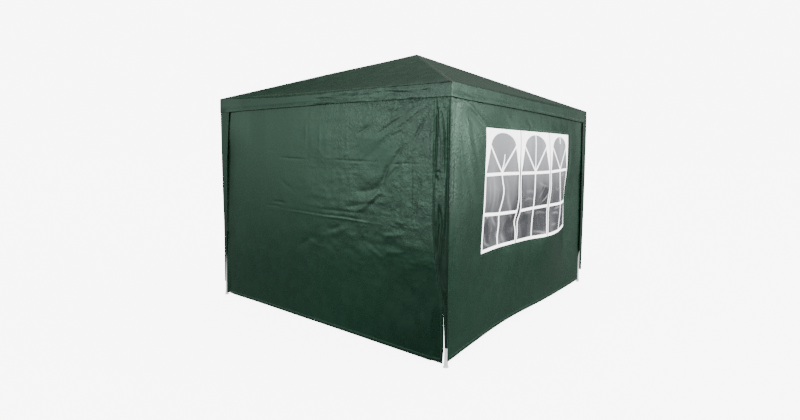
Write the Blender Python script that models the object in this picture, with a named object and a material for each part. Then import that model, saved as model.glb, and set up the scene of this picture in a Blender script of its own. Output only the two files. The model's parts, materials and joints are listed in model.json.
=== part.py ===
"""A party tent, three metres square: a white steel tube frame under a green cover,
with four hanging walls, two of them with a three-light window.

Metres, +Z up. The origin is on the ground at the middle of the tent, and the front is at -Y.
"""

import math

import bmesh
import bpy
from mathutils import Matrix, Vector

# Overall sizes
SIDE = 3.0
EAVE_HEIGHT = 2.13
PEAK_HEIGHT = 2.725
HALF = SIDE / 2
SLOPE = (PEAK_HEIGHT - EAVE_HEIGHT) / HALF
SLANT = math.sqrt(1 + SLOPE**2)

# Sheets are drawn 2 mm thick, and pieces that touch keep a small gap
FABRIC = 0.002
GAP = 0.0003

# Steel tubes
TUBE_RADIUS = 0.0125
LOWER_LEG_RADIUS = 0.014
SOCKET_RADIUS = 0.0145
BORE_RADIUS = TUBE_RADIUS + GAP
ROUND_SIDES = 24
FRAME_INSET = 0.033
FRAME_HALF = HALF - FRAME_INSET

# The frame's axes meet where the sockets lie against the underside of the cover
COVER_UNDERSIDE = EAVE_HEIGHT - FABRIC * SLANT
EAVE_AXIS = COVER_UNDERSIDE + SLOPE * FRAME_INSET - (SOCKET_RADIUS + GAP) * SLANT
PEAK_AXIS = EAVE_AXIS + SLOPE * FRAME_HALF

# Corner and peak connectors, measured from their centres
SOCKET_LENGTH = 0.070
SOCKET_SEAT = 0.016
RAFTER_SOCKET_LENGTH = 0.095
RAFTER_SEAT = 0.042
CORNER_CORE = SOCKET_RADIUS - 0.0002
PEAK_SOCKET_LENGTH = 0.080
PEAK_SOCKET_START = 0.016
PEAK_SEAT = 0.028
PEAK_CORE_RADIUS = 0.023
PEAK_CORE_BOTTOM = -0.024
PEAK_CORE_TOP = 0.005

# Legs and feet
LEG_JOINT_HEIGHT = 1.06
LEG_OVERLAP = 0.06
FOOT_FLANGE_RADIUS = 0.023
FOOT_FLANGE_THICKNESS = 0.003
FOOT_SLEEVE_RADIUS = 0.0165
FOOT_HEIGHT = 0.042
FOOT_FLOOR = 0.005

# The two tubes of an eave beam join at the middle by a narrowed end
SPIGOT_RADIUS = 0.0100
SPIGOT_LENGTH = 0.05

# Hanging fabric
VALANCE_DROP = 0.14
TAIL_TOP = 2.05
TAIL_OUTER_TOP = HALF - FABRIC - GAP
TAIL_OUTER_BOTTOM = 1.4865
TAIL_SECTIONS = ((TAIL_TOP, 0.135), (0.80, 0.130), (0.45, 0.050), (0.15, 0.022))

# Walls
WALL_INNER = FRAME_HALF + SOCKET_RADIUS + GAP
WALL_WIDTH = 2.86
WALL_SHIFT = 0.02
WALL_BOTTOM = 0.04
WALL_TOP = EAVE_AXIS - 0.001

# Window of three arched lights
WINDOW_WIDTH = 1.88
WINDOW_BOTTOM = 0.77
WINDOW_TOP = 1.82
WINDOW_SHIFT = -0.025
FILM = 0.001
FILM_SEAM = 0.015
LIGHTS = 3
LIGHT_WIDTH = WINDOW_WIDTH / LIGHTS
JAMB = 0.030
SILL = 0.034
BAR = 0.026
LOWER_BAR_HEIGHT = 1.072
UPPER_BAR_HEIGHT = 1.43
MUNTIN = 0.016
ARCH_HALF = 0.225
ARCH_SPRING = 1.67
ARCH_RISE = 0.118
ARCH_STEPS = 16

SIDES = ("front", "right", "back", "left")
CORNERS = ("front_right", "back_right", "back_left", "front_left")


def clear_scene():
    for obj in list(bpy.data.objects):
        bpy.data.objects.remove(obj)


def material(name, colour, roughness, metallic=0.0, alpha=1.0):
    made = bpy.data.materials.new(name)
    made.use_nodes = True
    shader = made.node_tree.nodes["Principled BSDF"]
    shader.inputs["Base Color"].default_value = (*colour, 1.0)
    shader.inputs["Roughness"].default_value = roughness
    shader.inputs["Metallic"].default_value = metallic
    shader.inputs["Alpha"].default_value = alpha
    return made


def mesh_of(name, build):
    """A closed mesh from a function that fills a bmesh, with its faces pointing out."""
    bm = bmesh.new()
    build(bm)
    bmesh.ops.recalc_face_normals(bm, faces=bm.faces)
    mesh = bpy.data.meshes.new(name)
    bm.to_mesh(mesh)
    bm.free()
    return mesh


def place(name, mesh, parent=None, finish=None, location=(0, 0, 0), direction=None):
    """An object; direction turns its mesh's +Z that way."""
    obj = bpy.data.objects.new(name, mesh)
    bpy.context.scene.collection.objects.link(obj)
    obj.parent = parent
    obj.location = location
    if direction is not None:
        obj.rotation_euler = Vector(direction).to_track_quat("Z", "Y").to_euler()
    if finish and not mesh.materials:
        mesh.materials.append(finish)
    return obj


def prism(outline, low, high, to_world=None):
    """A closed mesh with that outline in its own XY plane, from low to high along its own Z."""

    def build(bm):
        bottom = [bm.verts.new((x, y, low)) for x, y in outline]
        face = bm.faces.new(bottom)
        raised = bmesh.ops.extrude_face_region(bm, geom=[face])["geom"]
        top = [v for v in raised if isinstance(v, bmesh.types.BMVert)]
        bmesh.ops.translate(bm, verts=top, vec=(0, 0, high - low))
        if to_world:
            bmesh.ops.transform(bm, matrix=to_world, verts=bm.verts)

    return mesh_of("prism", build)


def lofted(name, sections):
    """A closed mesh through outlines of equally many points, one after the other."""

    def build(bm):
        rings = [[bm.verts.new(point) for point in section] for section in sections]
        count = len(rings[0])
        for lower, upper in zip(rings, rings[1:]):
            for i in range(count):
                j = (i + 1) % count
                bm.faces.new((lower[i], lower[j], upper[j], upper[i]))
        bm.faces.new(rings[0])
        bm.faces.new(rings[-1])

    return mesh_of(name, build)


def turned(name, profile):
    """A round piece about Z from (height, radius) points that start and end on the axis."""

    def ring(bm, height, radius):
        if radius == 0:
            return [bm.verts.new((0, 0, height))] * ROUND_SIDES
        step = 2 * math.pi / ROUND_SIDES
        return [
            bm.verts.new((radius * math.cos(step * i), radius * math.sin(step * i), height))
            for i in range(ROUND_SIDES)
        ]

    def build(bm):
        rings = [ring(bm, height, radius) for height, radius in profile]
        for lower, upper in zip(rings, rings[1:]):
            for i in range(ROUND_SIDES):
                j = (i + 1) % ROUND_SIDES
                corners = dict.fromkeys((lower[i], lower[j], upper[j], upper[i]))
                bm.faces.new(tuple(corners))

    mesh = mesh_of(name, build)
    mesh.shade_smooth()
    mesh.set_sharp_from_angle(angle=math.radians(35))
    return mesh


def rod(name, length, radius):
    return turned(name, ((0, 0), (0, radius), (length, radius), (length, 0)))


def combined(name, base, steps):
    """The mesh of base after each (operation, helper) is joined to it or cut from it."""
    for operation, helper in steps:
        helper.hide_render = True
        helper.display_type = "WIRE"
        modifier = base.modifiers.new(operation.lower(), "BOOLEAN")
        modifier.operation = operation
        modifier.object = helper
    bpy.context.view_layer.update()
    graph = bpy.context.evaluated_depsgraph_get()
    mesh = bpy.data.meshes.new_from_object(base.evaluated_get(graph))
    mesh.name = name
    for obj in [base] + [helper for _, helper in steps]:
        bpy.data.objects.remove(obj)
    return mesh


def socketed_hub(name, core, start, arms):
    """A connector: round sockets out from a core, for arms given as (direction, seat, length)."""
    base = place("hub_core", core)
    joins, bores = [], []
    for direction, seat, length in arms:
        direction = Vector(direction).normalized()
        sleeve = rod("sleeve", length - start, SOCKET_RADIUS)
        bore = rod("bore", length, BORE_RADIUS)
        joins.append(
            ("UNION", place("sleeve", sleeve, location=direction * start, direction=direction))
        )
        bores.append(
            ("DIFFERENCE", place("bore", bore, location=direction * seat, direction=direction))
        )
    mesh = combined(name, base, joins + bores)
    mesh.shade_smooth()
    mesh.set_sharp_from_angle(angle=math.radians(35))
    return mesh


def ball(name, radius):
    def build(bm):
        bmesh.ops.create_uvsphere(
            bm, u_segments=ROUND_SIDES, v_segments=ROUND_SIDES // 2, radius=radius
        )

    return mesh_of(name, build)


def rectangle(left, bottom, right, top):
    return [(left, bottom), (right, bottom), (right, top), (left, top)]


def clipped(outline, normal, offset):
    """The part of a convex outline where point . normal >= offset."""
    kept = []
    for start, end in zip(outline, outline[1:] + outline[:1]):
        before = start[0] * normal[0] + start[1] * normal[1] - offset
        after = end[0] * normal[0] + end[1] * normal[1] - offset
        if before >= 0:
            kept.append(start)
        if before * after < 0:
            share = before / (before - after)
            kept.append(tuple(a + share * (b - a) for a, b in zip(start, end)))
    return kept


def light_panes():
    """The seven clear panes of one light, about its own centre line.

    Two rays rise from the middle of the upper bar to the ends of a round head, with a small
    pane outside each of them. A muntin stands below the upper bar.
    """
    half = LIGHT_WIDTH / 2 - JAMB
    foot = UPPER_BAR_HEIGHT + BAR / 2
    ray = Vector((ARCH_HALF, ARCH_SPRING - foot)).normalized()
    arch = [
        (
            ARCH_HALF * math.cos(math.pi * i / ARCH_STEPS),
            ARCH_SPRING + ARCH_RISE * math.sin(math.pi * i / ARCH_STEPS),
        )
        for i in range(ARCH_STEPS + 1)
    ]
    head = arch + [(0, foot)]
    panes = []
    for side in (-1, 1):
        inward = (-side * ray.y, ray.x)
        level = foot * ray.x
        head = clipped(head, inward, level + MUNTIN / 2)
        corner = [(side * ARCH_HALF, ARCH_SPRING), (side * half, foot), (0, foot)]
        panes.append(clipped(corner, (side * ray.y, -ray.x), MUNTIN / 2 - level))
        for low, high in (
            (WINDOW_BOTTOM + SILL, LOWER_BAR_HEIGHT - BAR / 2),
            (LOWER_BAR_HEIGHT + BAR / 2, UPPER_BAR_HEIGHT - BAR / 2),
        ):
            left, right = sorted((side * MUNTIN / 2, side * half))
            panes.append(rectangle(left, low, right, high))
    panes.append(head)
    return panes


def tail_mesh():
    """A corner tail: an angle of fabric down the leg, wide at the valance and narrow at its hem."""
    sections = []
    for height, width in TAIL_SECTIONS:
        share = (TAIL_TOP - height) / (TAIL_TOP - TAIL_SECTIONS[-1][0])
        outer = TAIL_OUTER_TOP + share * (TAIL_OUTER_BOTTOM - TAIL_OUTER_TOP)
        inner = outer - FABRIC
        far = outer - width
        plan = (
            (far, -outer),
            (outer, -outer),
            (outer, -far),
            (inner, -far),
            (inner, -inner),
            (far, -inner),
        )
        sections.append([(x, y, height) for x, y in plan])
    return lofted("tail", sections)


def roof_panel_mesh():
    """One triangle of the cover, from the eave to the peak, parted from its neighbours at the hips."""

    def build(bm):
        top = [
            (-HALF + GAP, -HALF, EAVE_HEIGHT),
            (HALF - GAP, -HALF, EAVE_HEIGHT),
            (0, -GAP, PEAK_HEIGHT - SLOPE * GAP),
        ]
        face = bm.faces.new([bm.verts.new(point) for point in top])
        lowered = bmesh.ops.extrude_face_region(bm, geom=[face])["geom"]
        bottom = [v for v in lowered if isinstance(v, bmesh.types.BMVert)]
        bmesh.ops.translate(bm, verts=bottom, vec=(0, 0, -FABRIC * SLANT))

    return mesh_of("roof_panel", build)


def valance_mesh():
    """The strip that hangs from one eave, mitred at its ends."""
    inner = HALF - FABRIC
    plan = [
        (-HALF + GAP, -HALF),
        (HALF - GAP, -HALF),
        (inner - GAP, -inner),
        (-inner + GAP, -inner),
    ]
    return prism(plan, EAVE_HEIGHT - VALANCE_DROP, COVER_UNDERSIDE - GAP)


# Turns an outline drawn as (x, z) into one that stands upright, its thickness running towards -Y
STAND_UP = Matrix.Rotation(math.radians(90), 4, "X")


def upright(outline, inner, thickness):
    """A standing sheet from its (x, z) outline, its inner face at y = -inner."""
    return prism(outline, inner, inner + thickness, STAND_UP)


def wall_outline(shift):
    left = shift - WALL_WIDTH / 2
    return rectangle(left, WALL_BOTTOM, left + WALL_WIDTH, WALL_TOP)


def window_outline(shift, margin):
    """The window's rectangle, grown by a margin."""
    left = shift - WINDOW_WIDTH / 2
    return rectangle(
        left - margin, WINDOW_BOTTOM - margin, left + WINDOW_WIDTH + margin, WINDOW_TOP + margin
    )


def window_wall_mesh(wall_shift, window_shift):
    wall = place("wall_sheet", upright(wall_outline(wall_shift), WALL_INNER, FABRIC))
    hole = upright(window_outline(window_shift, 0), WALL_INNER - FABRIC, 3 * FABRIC)
    return combined("window_wall", wall, [("DIFFERENCE", place("window_hole", hole))])


def window_grid_mesh(window_shift):
    """The white lattice that fills the window's hole and lies on the film."""
    grid = place("grid_sheet", upright(window_outline(window_shift, -GAP), WALL_INNER, FABRIC))
    cuts = []
    for light in range(LIGHTS):
        centre = window_shift + (light - (LIGHTS - 1) / 2) * LIGHT_WIDTH
        for pane in light_panes():
            moved = [(x + centre, z) for x, z in pane]
            cutter = upright(moved, WALL_INNER - FABRIC, 3 * FABRIC)
            cuts.append(("DIFFERENCE", place("pane", cutter)))
    return combined("window_grid", grid, cuts)


def build_frame(quarters, steel):
    """Feet, legs, beams, rafters and their connectors, one of each to a quarter turn."""
    post = Vector((FRAME_HALF, -FRAME_HALF, 0))
    eave = Vector((FRAME_HALF, -FRAME_HALF, EAVE_AXIS))
    peak = Vector((0, 0, PEAK_AXIS))
    up_hip = (peak - eave).normalized()

    foot = turned(
        "foot",
        (
            (0, 0),
            (0, FOOT_FLANGE_RADIUS),
            (FOOT_FLANGE_THICKNESS, FOOT_FLANGE_RADIUS),
            (FOOT_FLANGE_THICKNESS, FOOT_SLEEVE_RADIUS),
            (FOOT_HEIGHT, FOOT_SLEEVE_RADIUS),
            (FOOT_HEIGHT, LOWER_LEG_RADIUS + GAP),
            (FOOT_FLOOR, LOWER_LEG_RADIUS + GAP),
            (FOOT_FLOOR, 0),
        ),
    )
    leg_start = FOOT_FLOOR + GAP
    lower_length = LEG_JOINT_HEIGHT - leg_start
    leg_lower = turned(
        "leg_lower",
        (
            (0, 0),
            (0, LOWER_LEG_RADIUS),
            (lower_length, LOWER_LEG_RADIUS),
            (lower_length, BORE_RADIUS),
            (lower_length - LEG_OVERLAP, BORE_RADIUS),
            (lower_length - LEG_OVERLAP, 0),
        ),
    )
    upper_start = LEG_JOINT_HEIGHT - LEG_OVERLAP + GAP
    leg_upper = rod("leg_upper", EAVE_AXIS - SOCKET_SEAT - GAP - upper_start, TUBE_RADIUS)

    beam_length = FRAME_HALF - SOCKET_SEAT - GAP
    beam_bored = turned(
        "beam_bored",
        (
            (0, 0),
            (0, TUBE_RADIUS),
            (beam_length, TUBE_RADIUS),
            (beam_length, SPIGOT_RADIUS + GAP),
            (beam_length - SPIGOT_LENGTH - GAP, SPIGOT_RADIUS + GAP),
            (beam_length - SPIGOT_LENGTH - GAP, 0),
        ),
    )
    beam_spigot = turned(
        "beam_spigot",
        (
            (0, 0),
            (0, TUBE_RADIUS),
            (beam_length - GAP, TUBE_RADIUS),
            (beam_length - GAP, SPIGOT_RADIUS),
            (beam_length + SPIGOT_LENGTH - GAP, SPIGOT_RADIUS),
            (beam_length + SPIGOT_LENGTH - GAP, 0),
        ),
    )
    rafter_length = (peak - eave).length - RAFTER_SEAT - PEAK_SEAT - 2 * GAP
    rafter = rod("rafter", rafter_length, TUBE_RADIUS)

    corner_arms = (
        ((0, 0, -1), SOCKET_SEAT, SOCKET_LENGTH),
        ((-1, 0, 0), SOCKET_SEAT, SOCKET_LENGTH),
        ((0, 1, 0), SOCKET_SEAT, SOCKET_LENGTH),
        (up_hip, RAFTER_SEAT, RAFTER_SOCKET_LENGTH),
    )
    corner = socketed_hub("corner_connector", ball("corner_core", CORNER_CORE), 0, corner_arms)
    peak_arms = [
        (Matrix.Rotation(math.radians(90 * turn), 3, "Z") @ -up_hip, PEAK_SEAT, PEAK_SOCKET_LENGTH)
        for turn in range(4)
    ]

    for side, at, quarter in zip(SIDES, CORNERS, quarters):
        place("foot_" + at, foot, quarter, steel, post)
        place("leg_lower_" + at, leg_lower, quarter, steel, post + Vector((0, 0, leg_start)))
        place("leg_upper_" + at, leg_upper, quarter, steel, post + Vector((0, 0, upper_start)))
        place("corner_connector_" + at, corner, quarter, steel, eave)
        beam_ends = Vector((FRAME_HALF - SOCKET_SEAT - GAP, 0, 0))
        middle = Vector((0, -FRAME_HALF, EAVE_AXIS))
        place(f"eave_beam_{side}_1", beam_bored, quarter, steel, middle - beam_ends, (1, 0, 0))
        place(f"eave_beam_{side}_2", beam_spigot, quarter, steel, middle + beam_ends, (-1, 0, 0))
        place("rafter_" + at, rafter, quarter, steel, eave + up_hip * (RAFTER_SEAT + GAP), up_hip)
    core = turned(
        "peak_core",
        (
            (PEAK_CORE_BOTTOM, 0),
            (PEAK_CORE_BOTTOM, PEAK_CORE_RADIUS),
            (PEAK_CORE_TOP, PEAK_CORE_RADIUS),
            (PEAK_CORE_TOP, 0),
        ),
    )
    crown = socketed_hub("peak_connector", core, PEAK_SOCKET_START, peak_arms)
    place("peak_connector", crown, None, steel, peak)


def build_cover(quarters, fabric):
    """The roof's four triangles, the valance and the corner tails, which are sewn to each other."""
    panel, valance, tail = roof_panel_mesh(), valance_mesh(), tail_mesh()
    for side, at, quarter in zip(SIDES, CORNERS, quarters):
        place("roof_panel_" + side, panel, quarter, fabric)
        place("valance_" + side, valance, quarter, fabric)
        place("corner_tail_" + at, tail, quarter, fabric)


def build_walls(quarters, fabric, film, white):
    """Plain walls front and back, window walls right and left.

    Each hangs a little towards the front right or the back left corner.
    """
    plain = upright(wall_outline(WALL_SHIFT), WALL_INNER, FABRIC)
    windowed = window_wall_mesh(-WALL_SHIFT, WINDOW_SHIFT)
    grid = window_grid_mesh(WINDOW_SHIFT)
    film_inner = WALL_INNER - GAP - FILM
    sheet = upright(window_outline(WINDOW_SHIFT, FILM_SEAM), film_inner, FILM)
    for side, quarter in zip(SIDES, quarters):
        if side in ("front", "back"):
            place("wall_" + side, plain, quarter, fabric)
            continue
        place("wall_" + side, windowed, quarter, fabric)
        place("window_film_" + side, sheet, quarter, film)
        place("window_grid_" + side, grid, quarter, white)


def main():
    clear_scene()
    steel = material("white_steel", (0.80, 0.81, 0.80), 0.35, 0.1)
    fabric = material("green_fabric", (0.035, 0.085, 0.060), 0.45)
    film = material("clear_film", (0.80, 0.80, 0.84), 0.1, 0.0, 0.35)
    white = material("white_print", (0.85, 0.85, 0.86), 0.4)
    quarters = []
    for turn, side in enumerate(SIDES):
        quarter = bpy.data.objects.new("quarter_" + side, None)
        quarter.rotation_euler = (0, 0, math.radians(90 * turn))
        bpy.context.scene.collection.objects.link(quarter)
        quarters.append(quarter)
    build_frame(quarters, steel)
    build_cover(quarters, fabric)
    build_walls(quarters, fabric, film, white)


main()
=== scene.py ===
"""Looks for a green party tent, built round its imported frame.

Run as a script, it hangs the creased cover, the walls and their windows on the solids, gives
every piece its finish and sets the stage. Lengths are in metres and +Z is up.
"""

import json
import math

import bpy
import numpy as np
from bpy.props import FloatProperty, FloatVectorProperty, PointerProperty
from bpy.types import Operator, Panel, PropertyGroup
from mathutils import Matrix, Vector


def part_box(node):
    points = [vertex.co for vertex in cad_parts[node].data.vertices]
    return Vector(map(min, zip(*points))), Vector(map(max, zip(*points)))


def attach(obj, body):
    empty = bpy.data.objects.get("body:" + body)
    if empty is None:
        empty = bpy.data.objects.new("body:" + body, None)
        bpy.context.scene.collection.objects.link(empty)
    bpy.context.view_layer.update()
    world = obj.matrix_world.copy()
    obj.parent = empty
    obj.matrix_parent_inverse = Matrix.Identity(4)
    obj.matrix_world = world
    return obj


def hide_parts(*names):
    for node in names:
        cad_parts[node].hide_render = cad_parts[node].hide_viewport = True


bl_info = {
    "name": "Party Tent",
    "version": (1, 0, 0),
    "blender": (4, 5, 0),
    "location": "3D View > Sidebar > Tent",
    "description": "Hangs a creased green cover and windowed walls on a steel tent frame",
    "category": "Add Mesh",
}

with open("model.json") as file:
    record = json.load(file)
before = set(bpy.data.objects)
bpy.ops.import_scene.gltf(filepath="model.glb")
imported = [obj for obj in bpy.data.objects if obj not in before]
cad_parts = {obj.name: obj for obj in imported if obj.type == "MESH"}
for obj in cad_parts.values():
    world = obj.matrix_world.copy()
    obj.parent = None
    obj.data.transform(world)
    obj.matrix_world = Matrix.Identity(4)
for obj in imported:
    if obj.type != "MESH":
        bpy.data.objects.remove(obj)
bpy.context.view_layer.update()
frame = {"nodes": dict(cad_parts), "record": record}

# The four sides, each a quarter turn on from the one before, and the corner after each
SIDES = ("front", "right", "back", "left")
CORNERS = ("front_right", "back_right", "back_left", "front_left")
WINDOW_SIDES = ("right", "left")

# Where the solids are
ROOF_LOW, ROOF_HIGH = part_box("roof_panel_front")
VALANCE_LOW, VALANCE_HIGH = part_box("valance_front")
TAIL_LOW, TAIL_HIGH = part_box("corner_tail_front_right")
HALF = -ROOF_LOW.y
# A roof panel's upright edge is this deep, and the cover follows its upper face
PANEL_EDGE = 0.0021
EAVE = ROOF_LOW.z + PANEL_EDGE
PEAK = ROOF_HIGH.z
SLOPE = (PEAK - EAVE) / HALF
LEG_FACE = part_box("leg_lower_front_right")[1].x


def side_box(node, turn):
    """A node's box with its side turned round to the front."""
    back = Matrix.Rotation(-turn * math.pi / 2, 3, "Z")
    ends = [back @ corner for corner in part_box(node)]
    return Vector(map(min, *ends)), Vector(map(max, *ends))


def length_setting(name, description, default):
    return FloatProperty(name=name, description=description, default=default, unit="LENGTH")


def colour_setting(name, description, default):
    return FloatVectorProperty(
        name=name, description=description, default=default, subtype="COLOR"
    )


def stage_setting(name, description, default, unit="NONE"):
    return FloatProperty(name=name, description=description, default=default, unit=unit)


class TentSizes(PropertyGroup):
    cloth: length_setting("Cloth", "Thickness of the sheet", 0.0008)
    film: length_setting("Film", "Thickness of the clear film", 0.0004)
    bars: length_setting("Bars", "Thickness of the window's white bars", 0.0007)
    roof_sag: length_setting("Roof sag", "How far a roof face sags", 0.014)
    valance_step: length_setting("Valance step", "Spacing of the valance's points", 0.0084)
    tail_step: length_setting("Tail step", "Spacing of the tails' points", 0.0042)
    wall_step: length_setting("Wall step", "Spacing of the walls' points", 0.0108)
    film_step: length_setting("Film step", "Spacing of the film's points", 0.0095)


class TentColours(PropertyGroup):
    sheet: colour_setting("Sheet", "Green of the coated sheet", (0.0030, 0.0300, 0.0150))
    sheet_pale: colour_setting(
        "Pale sheet", "Green where the coating is rubbed and creased", (0.010, 0.050, 0.029)
    )
    steel: colour_setting("Steel", "White of the powder coat", (0.78, 0.79, 0.78))
    film: colour_setting("Film", "Grey of the clear film", (0.72, 0.735, 0.77))
    trim: colour_setting("Trim", "White of the window bars", (0.86, 0.86, 0.88))


class StageSettings(PropertyGroup):
    lens: stage_setting("Lens", "Focal length", 21.295, "CAMERA")
    sky: stage_setting("Sky", "Brightness of the sky on the left", 2.1)
    zenith: stage_setting("Zenith", "Brightness straight above", 2.0)
    ground: stage_setting("Ground", "Brightness of the light from below", 0.18)
    behind: stage_setting("Behind", "Brightness of the dark side behind the tent", 0.17)
    window: stage_setting("Window", "Brightness of the light far on the right", 2.8)
    softbox: stage_setting("Softbox", "Power of the lamp by the camera", 60.0, "POWER")
    side_softbox: stage_setting("Side softbox", "Power of the lamp on the right", 70.0, "POWER")
    floor: stage_setting("Floor", "Brightness of the pale floor", 7.0)


# Shaping


def smooth(low, high, value):
    """0 below low, 1 above high, and an even rise between them."""
    share = np.clip((value - low) / (high - low), 0, 1)
    return share * share * (3 - 2 * share)


def hill(value, centre, spread):
    """1 at the centre, falling away evenly on both sides."""
    return np.exp(-(((value - centre) / spread) ** 2))


# Factors that scatter the noise's values from one corner of its grid to the next
SCATTER = (127.1, 311.7, 74.7)
SCATTER_SIZE = 43758.5453


def ripple(x, z, seed):
    """Even noise from -1 to 1 that turns over about once a unit."""
    left, low = np.floor(x), np.floor(z)
    across, up = x - left, z - low
    across, up = across * across * (3 - 2 * across), up * up * (3 - 2 * up)

    def corner(i, j):
        turn = (left + i) * SCATTER[0] + (low + j) * SCATTER[1] + seed * SCATTER[2]
        mixed = np.sin(turn) * SCATTER_SIZE
        return 2 * (mixed - np.floor(mixed)) - 1

    lower = corner(0, 0) * (1 - across) + corner(1, 0) * across
    upper = corner(0, 1) * (1 - across) + corner(1, 1) * across
    return lower * (1 - up) + upper * up


def creases(x, z, seed, octaves=3):
    """Noise of sharp ridges and broad hollows, from about -1 to 1."""
    total, size = 0, 1
    for octave in range(octaves):
        total = total + size * (1 - 2 * np.abs(ripple(x, z, seed + octave)))
        # The next octave is finer, turned on its side and moved along
        x, z = 1.9 * z + 7.3, 1.9 * x - 3.1
        size *= 0.5
    return total / 2


# A fold rises and falls along its length as a sine does, but never to nothing, because its ends
# count as these shares of it. The powers make its fade gentle and its ridge blunt, and a full
# lean makes one flank rise and the other sink this strongly.
FOLD_ENDS = (0.02, 0.98)
FOLD_FADE = 0.6
FOLD_BLUNT = 1.5
FOLD_LEAN = 1.6


def fold(x, z, path, width, height, lean=0.0):
    """A fold along a path of points, with a lean that makes one flank a hollow."""
    near = np.full(x.shape, np.inf)
    along = np.zeros(x.shape)
    beside = np.zeros(x.shape)
    lengths = [math.dist(a, b) for a, b in zip(path, path[1:])]
    done, whole = 0.0, sum(lengths)
    for (ax, az), (bx, bz), length in zip(path, path[1:], lengths):
        dx, dz = (bx - ax) / length, (bz - az) / length
        run = np.clip((x - ax) * dx + (z - az) * dz, 0, length)
        away = np.hypot(x - ax - run * dx, z - az - run * dz)
        closer = away < near
        near = np.where(closer, away, near)
        along = np.where(closer, (done + run) / whole, along)
        beside = np.where(closer, np.sign((x - ax) * dz - (z - az) * dx) * away, beside)
        done += length
    fade = np.sin(np.pi * np.clip(along, *FOLD_ENDS)) ** FOLD_FADE
    ridge = np.exp(-((near / width) ** FOLD_BLUNT))
    return height * fade * ridge * (1 - lean + lean * FOLD_LEAN * beside / width)


def get_points(obj):
    """The places of a mesh's points, one row each."""
    flat = np.empty(len(obj.data.vertices) * 3)
    obj.data.vertices.foreach_get("co", flat)
    return flat.reshape(-1, 3)


def set_points(obj, points):
    obj.data.vertices.foreach_set("co", points.ravel())
    obj.data.update()


def note(obj, name, values):
    """Keeps a number at every point for the materials."""
    made = obj.data.attributes.new(name, "FLOAT", "POINT")
    made.data.foreach_set("value", np.asarray(values, np.float32))


def only(obj):
    """Selects one object and nothing else."""
    bpy.ops.object.select_all(action="DESELECT")
    obj.select_set(True)
    bpy.context.view_layer.objects.active = obj


def edit_all(obj, operator, **settings):
    """Runs an operator of edit mode on the whole of one mesh."""
    only(obj)
    bpy.ops.object.mode_set(mode="EDIT")
    bpy.ops.mesh.select_all(action="SELECT")
    operator(**settings)
    bpy.ops.object.mode_set(mode="OBJECT")


def bisect_all(obj, point, normal):
    """Cuts every face along a plane and keeps both halves."""
    edit_all(obj, bpy.ops.mesh.bisect, plane_co=point, plane_no=normal)


def delete_faces(obj, wanted):
    """Deletes the faces whose centre is wanted."""
    only(obj)
    bpy.ops.object.mode_set(mode="EDIT")
    bpy.ops.mesh.select_mode(type="FACE")
    bpy.ops.mesh.select_all(action="DESELECT")
    bpy.ops.object.mode_set(mode="OBJECT")
    for face in obj.data.polygons:
        face.select = wanted(face.center)
    bpy.ops.object.mode_set(mode="EDIT")
    bpy.ops.mesh.delete(type="FACE")
    bpy.ops.object.mode_set(mode="OBJECT")


def apply_place(obj):
    """Puts an object's place, turn and size into its mesh."""
    only(obj)
    bpy.ops.object.transform_apply(location=True, rotation=True, scale=True)


def turn_to(obj, turn):
    """Turns a finished front piece round to its own side."""
    obj.data.transform(Matrix.Rotation(turn * math.pi / 2, 4, "Z"))


def thicken(obj, thickness):
    """Gives a sheet its thickness, inward, and closes its edges."""
    only(obj)
    modifier = obj.modifiers.new("thickness", "SOLIDIFY")
    modifier.thickness = thickness
    modifier.offset = -1.0
    modifier.use_rim = True
    bpy.ops.object.modifier_apply(modifier=modifier.name)


# How finely the spacing of a grid's lines is summed up
SAMPLES = 600
EVEN = ((0, 1),)


def density(low, high, spacing):
    """Places from low to high, and how close lines lie there, from (place, spacing) pairs."""
    places = np.linspace(low, high, SAMPLES)
    return places, 1 / np.interp(places, *zip(*spacing))


def spaced(values, spacing):
    """Moves evenly spaced lines so that their spacing follows (place, spacing) pairs."""
    places, close = density(values.min(), values.max(), spacing)
    count = np.cumsum(close)
    count = (count - count[0]) / (count[-1] - count[0])
    return np.interp((values - places[0]) / (places[-1] - places[0]), count, places)


def line_count(low, high, spacing, unit):
    """How many gaps of about that spacing fit between low and high."""
    places, close = density(low, high, spacing)
    return max(2, round(float(np.trapz(close, places)) / unit))


def upright_grid(name, across, up, depth, step, lines=(EVEN, EVEN)):
    """A standing grid that faces the front, with its cloth's own metres as a UV map.

    It reaches from the first to the second value of across and of up.
    """
    (left, right), (bottom, top) = across, up
    bpy.ops.object.select_all(action="DESELECT")
    bpy.ops.mesh.primitive_grid_add(
        x_subdivisions=line_count(left, right, lines[0], step),
        y_subdivisions=line_count(bottom, top, lines[1], step),
        size=1,
        location=((left + right) / 2, -depth, (bottom + top) / 2),
        rotation=(math.pi / 2, 0, 0),
    )
    sheet = bpy.context.object
    sheet.name = sheet.data.name = name
    sheet.scale = (right - left, top - bottom, 1)
    apply_place(sheet)
    points = get_points(sheet)
    points[:, 0] = spaced(points[:, 0], lines[0])
    points[:, 2] = spaced(points[:, 2], lines[1])
    set_points(sheet, points)
    flat_map(sheet, points[:, 0] - left, points[:, 2] - bottom)
    return sheet


def flat_map(obj, across, up):
    """Writes the cloth's own metres at each point into the UV map."""
    corners = np.empty(len(obj.data.loops), np.int32)
    obj.data.loops.foreach_get("vertex_index", corners)
    flat = np.column_stack([across, up])[corners]
    obj.data.uv_layers.active.data.foreach_set("uv", flat.astype(np.float32).ravel())


def dress(obj, finish, slot, *nodes):
    """Gives a piece its finish and hides the solids that it stands for."""
    obj.data.materials.clear()
    obj.data.materials.append(finish)
    if nodes:
        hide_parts(*nodes)
    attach(obj, "root")


def shade_smooth(obj, angle=None):
    """Shades smooth all over, or only where faces meet at less than an angle in degrees."""
    only(obj)
    if angle is None:
        bpy.ops.object.shade_smooth()
    else:
        bpy.ops.object.shade_smooth_by_angle(angle=math.radians(angle))


# Finishes


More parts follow.
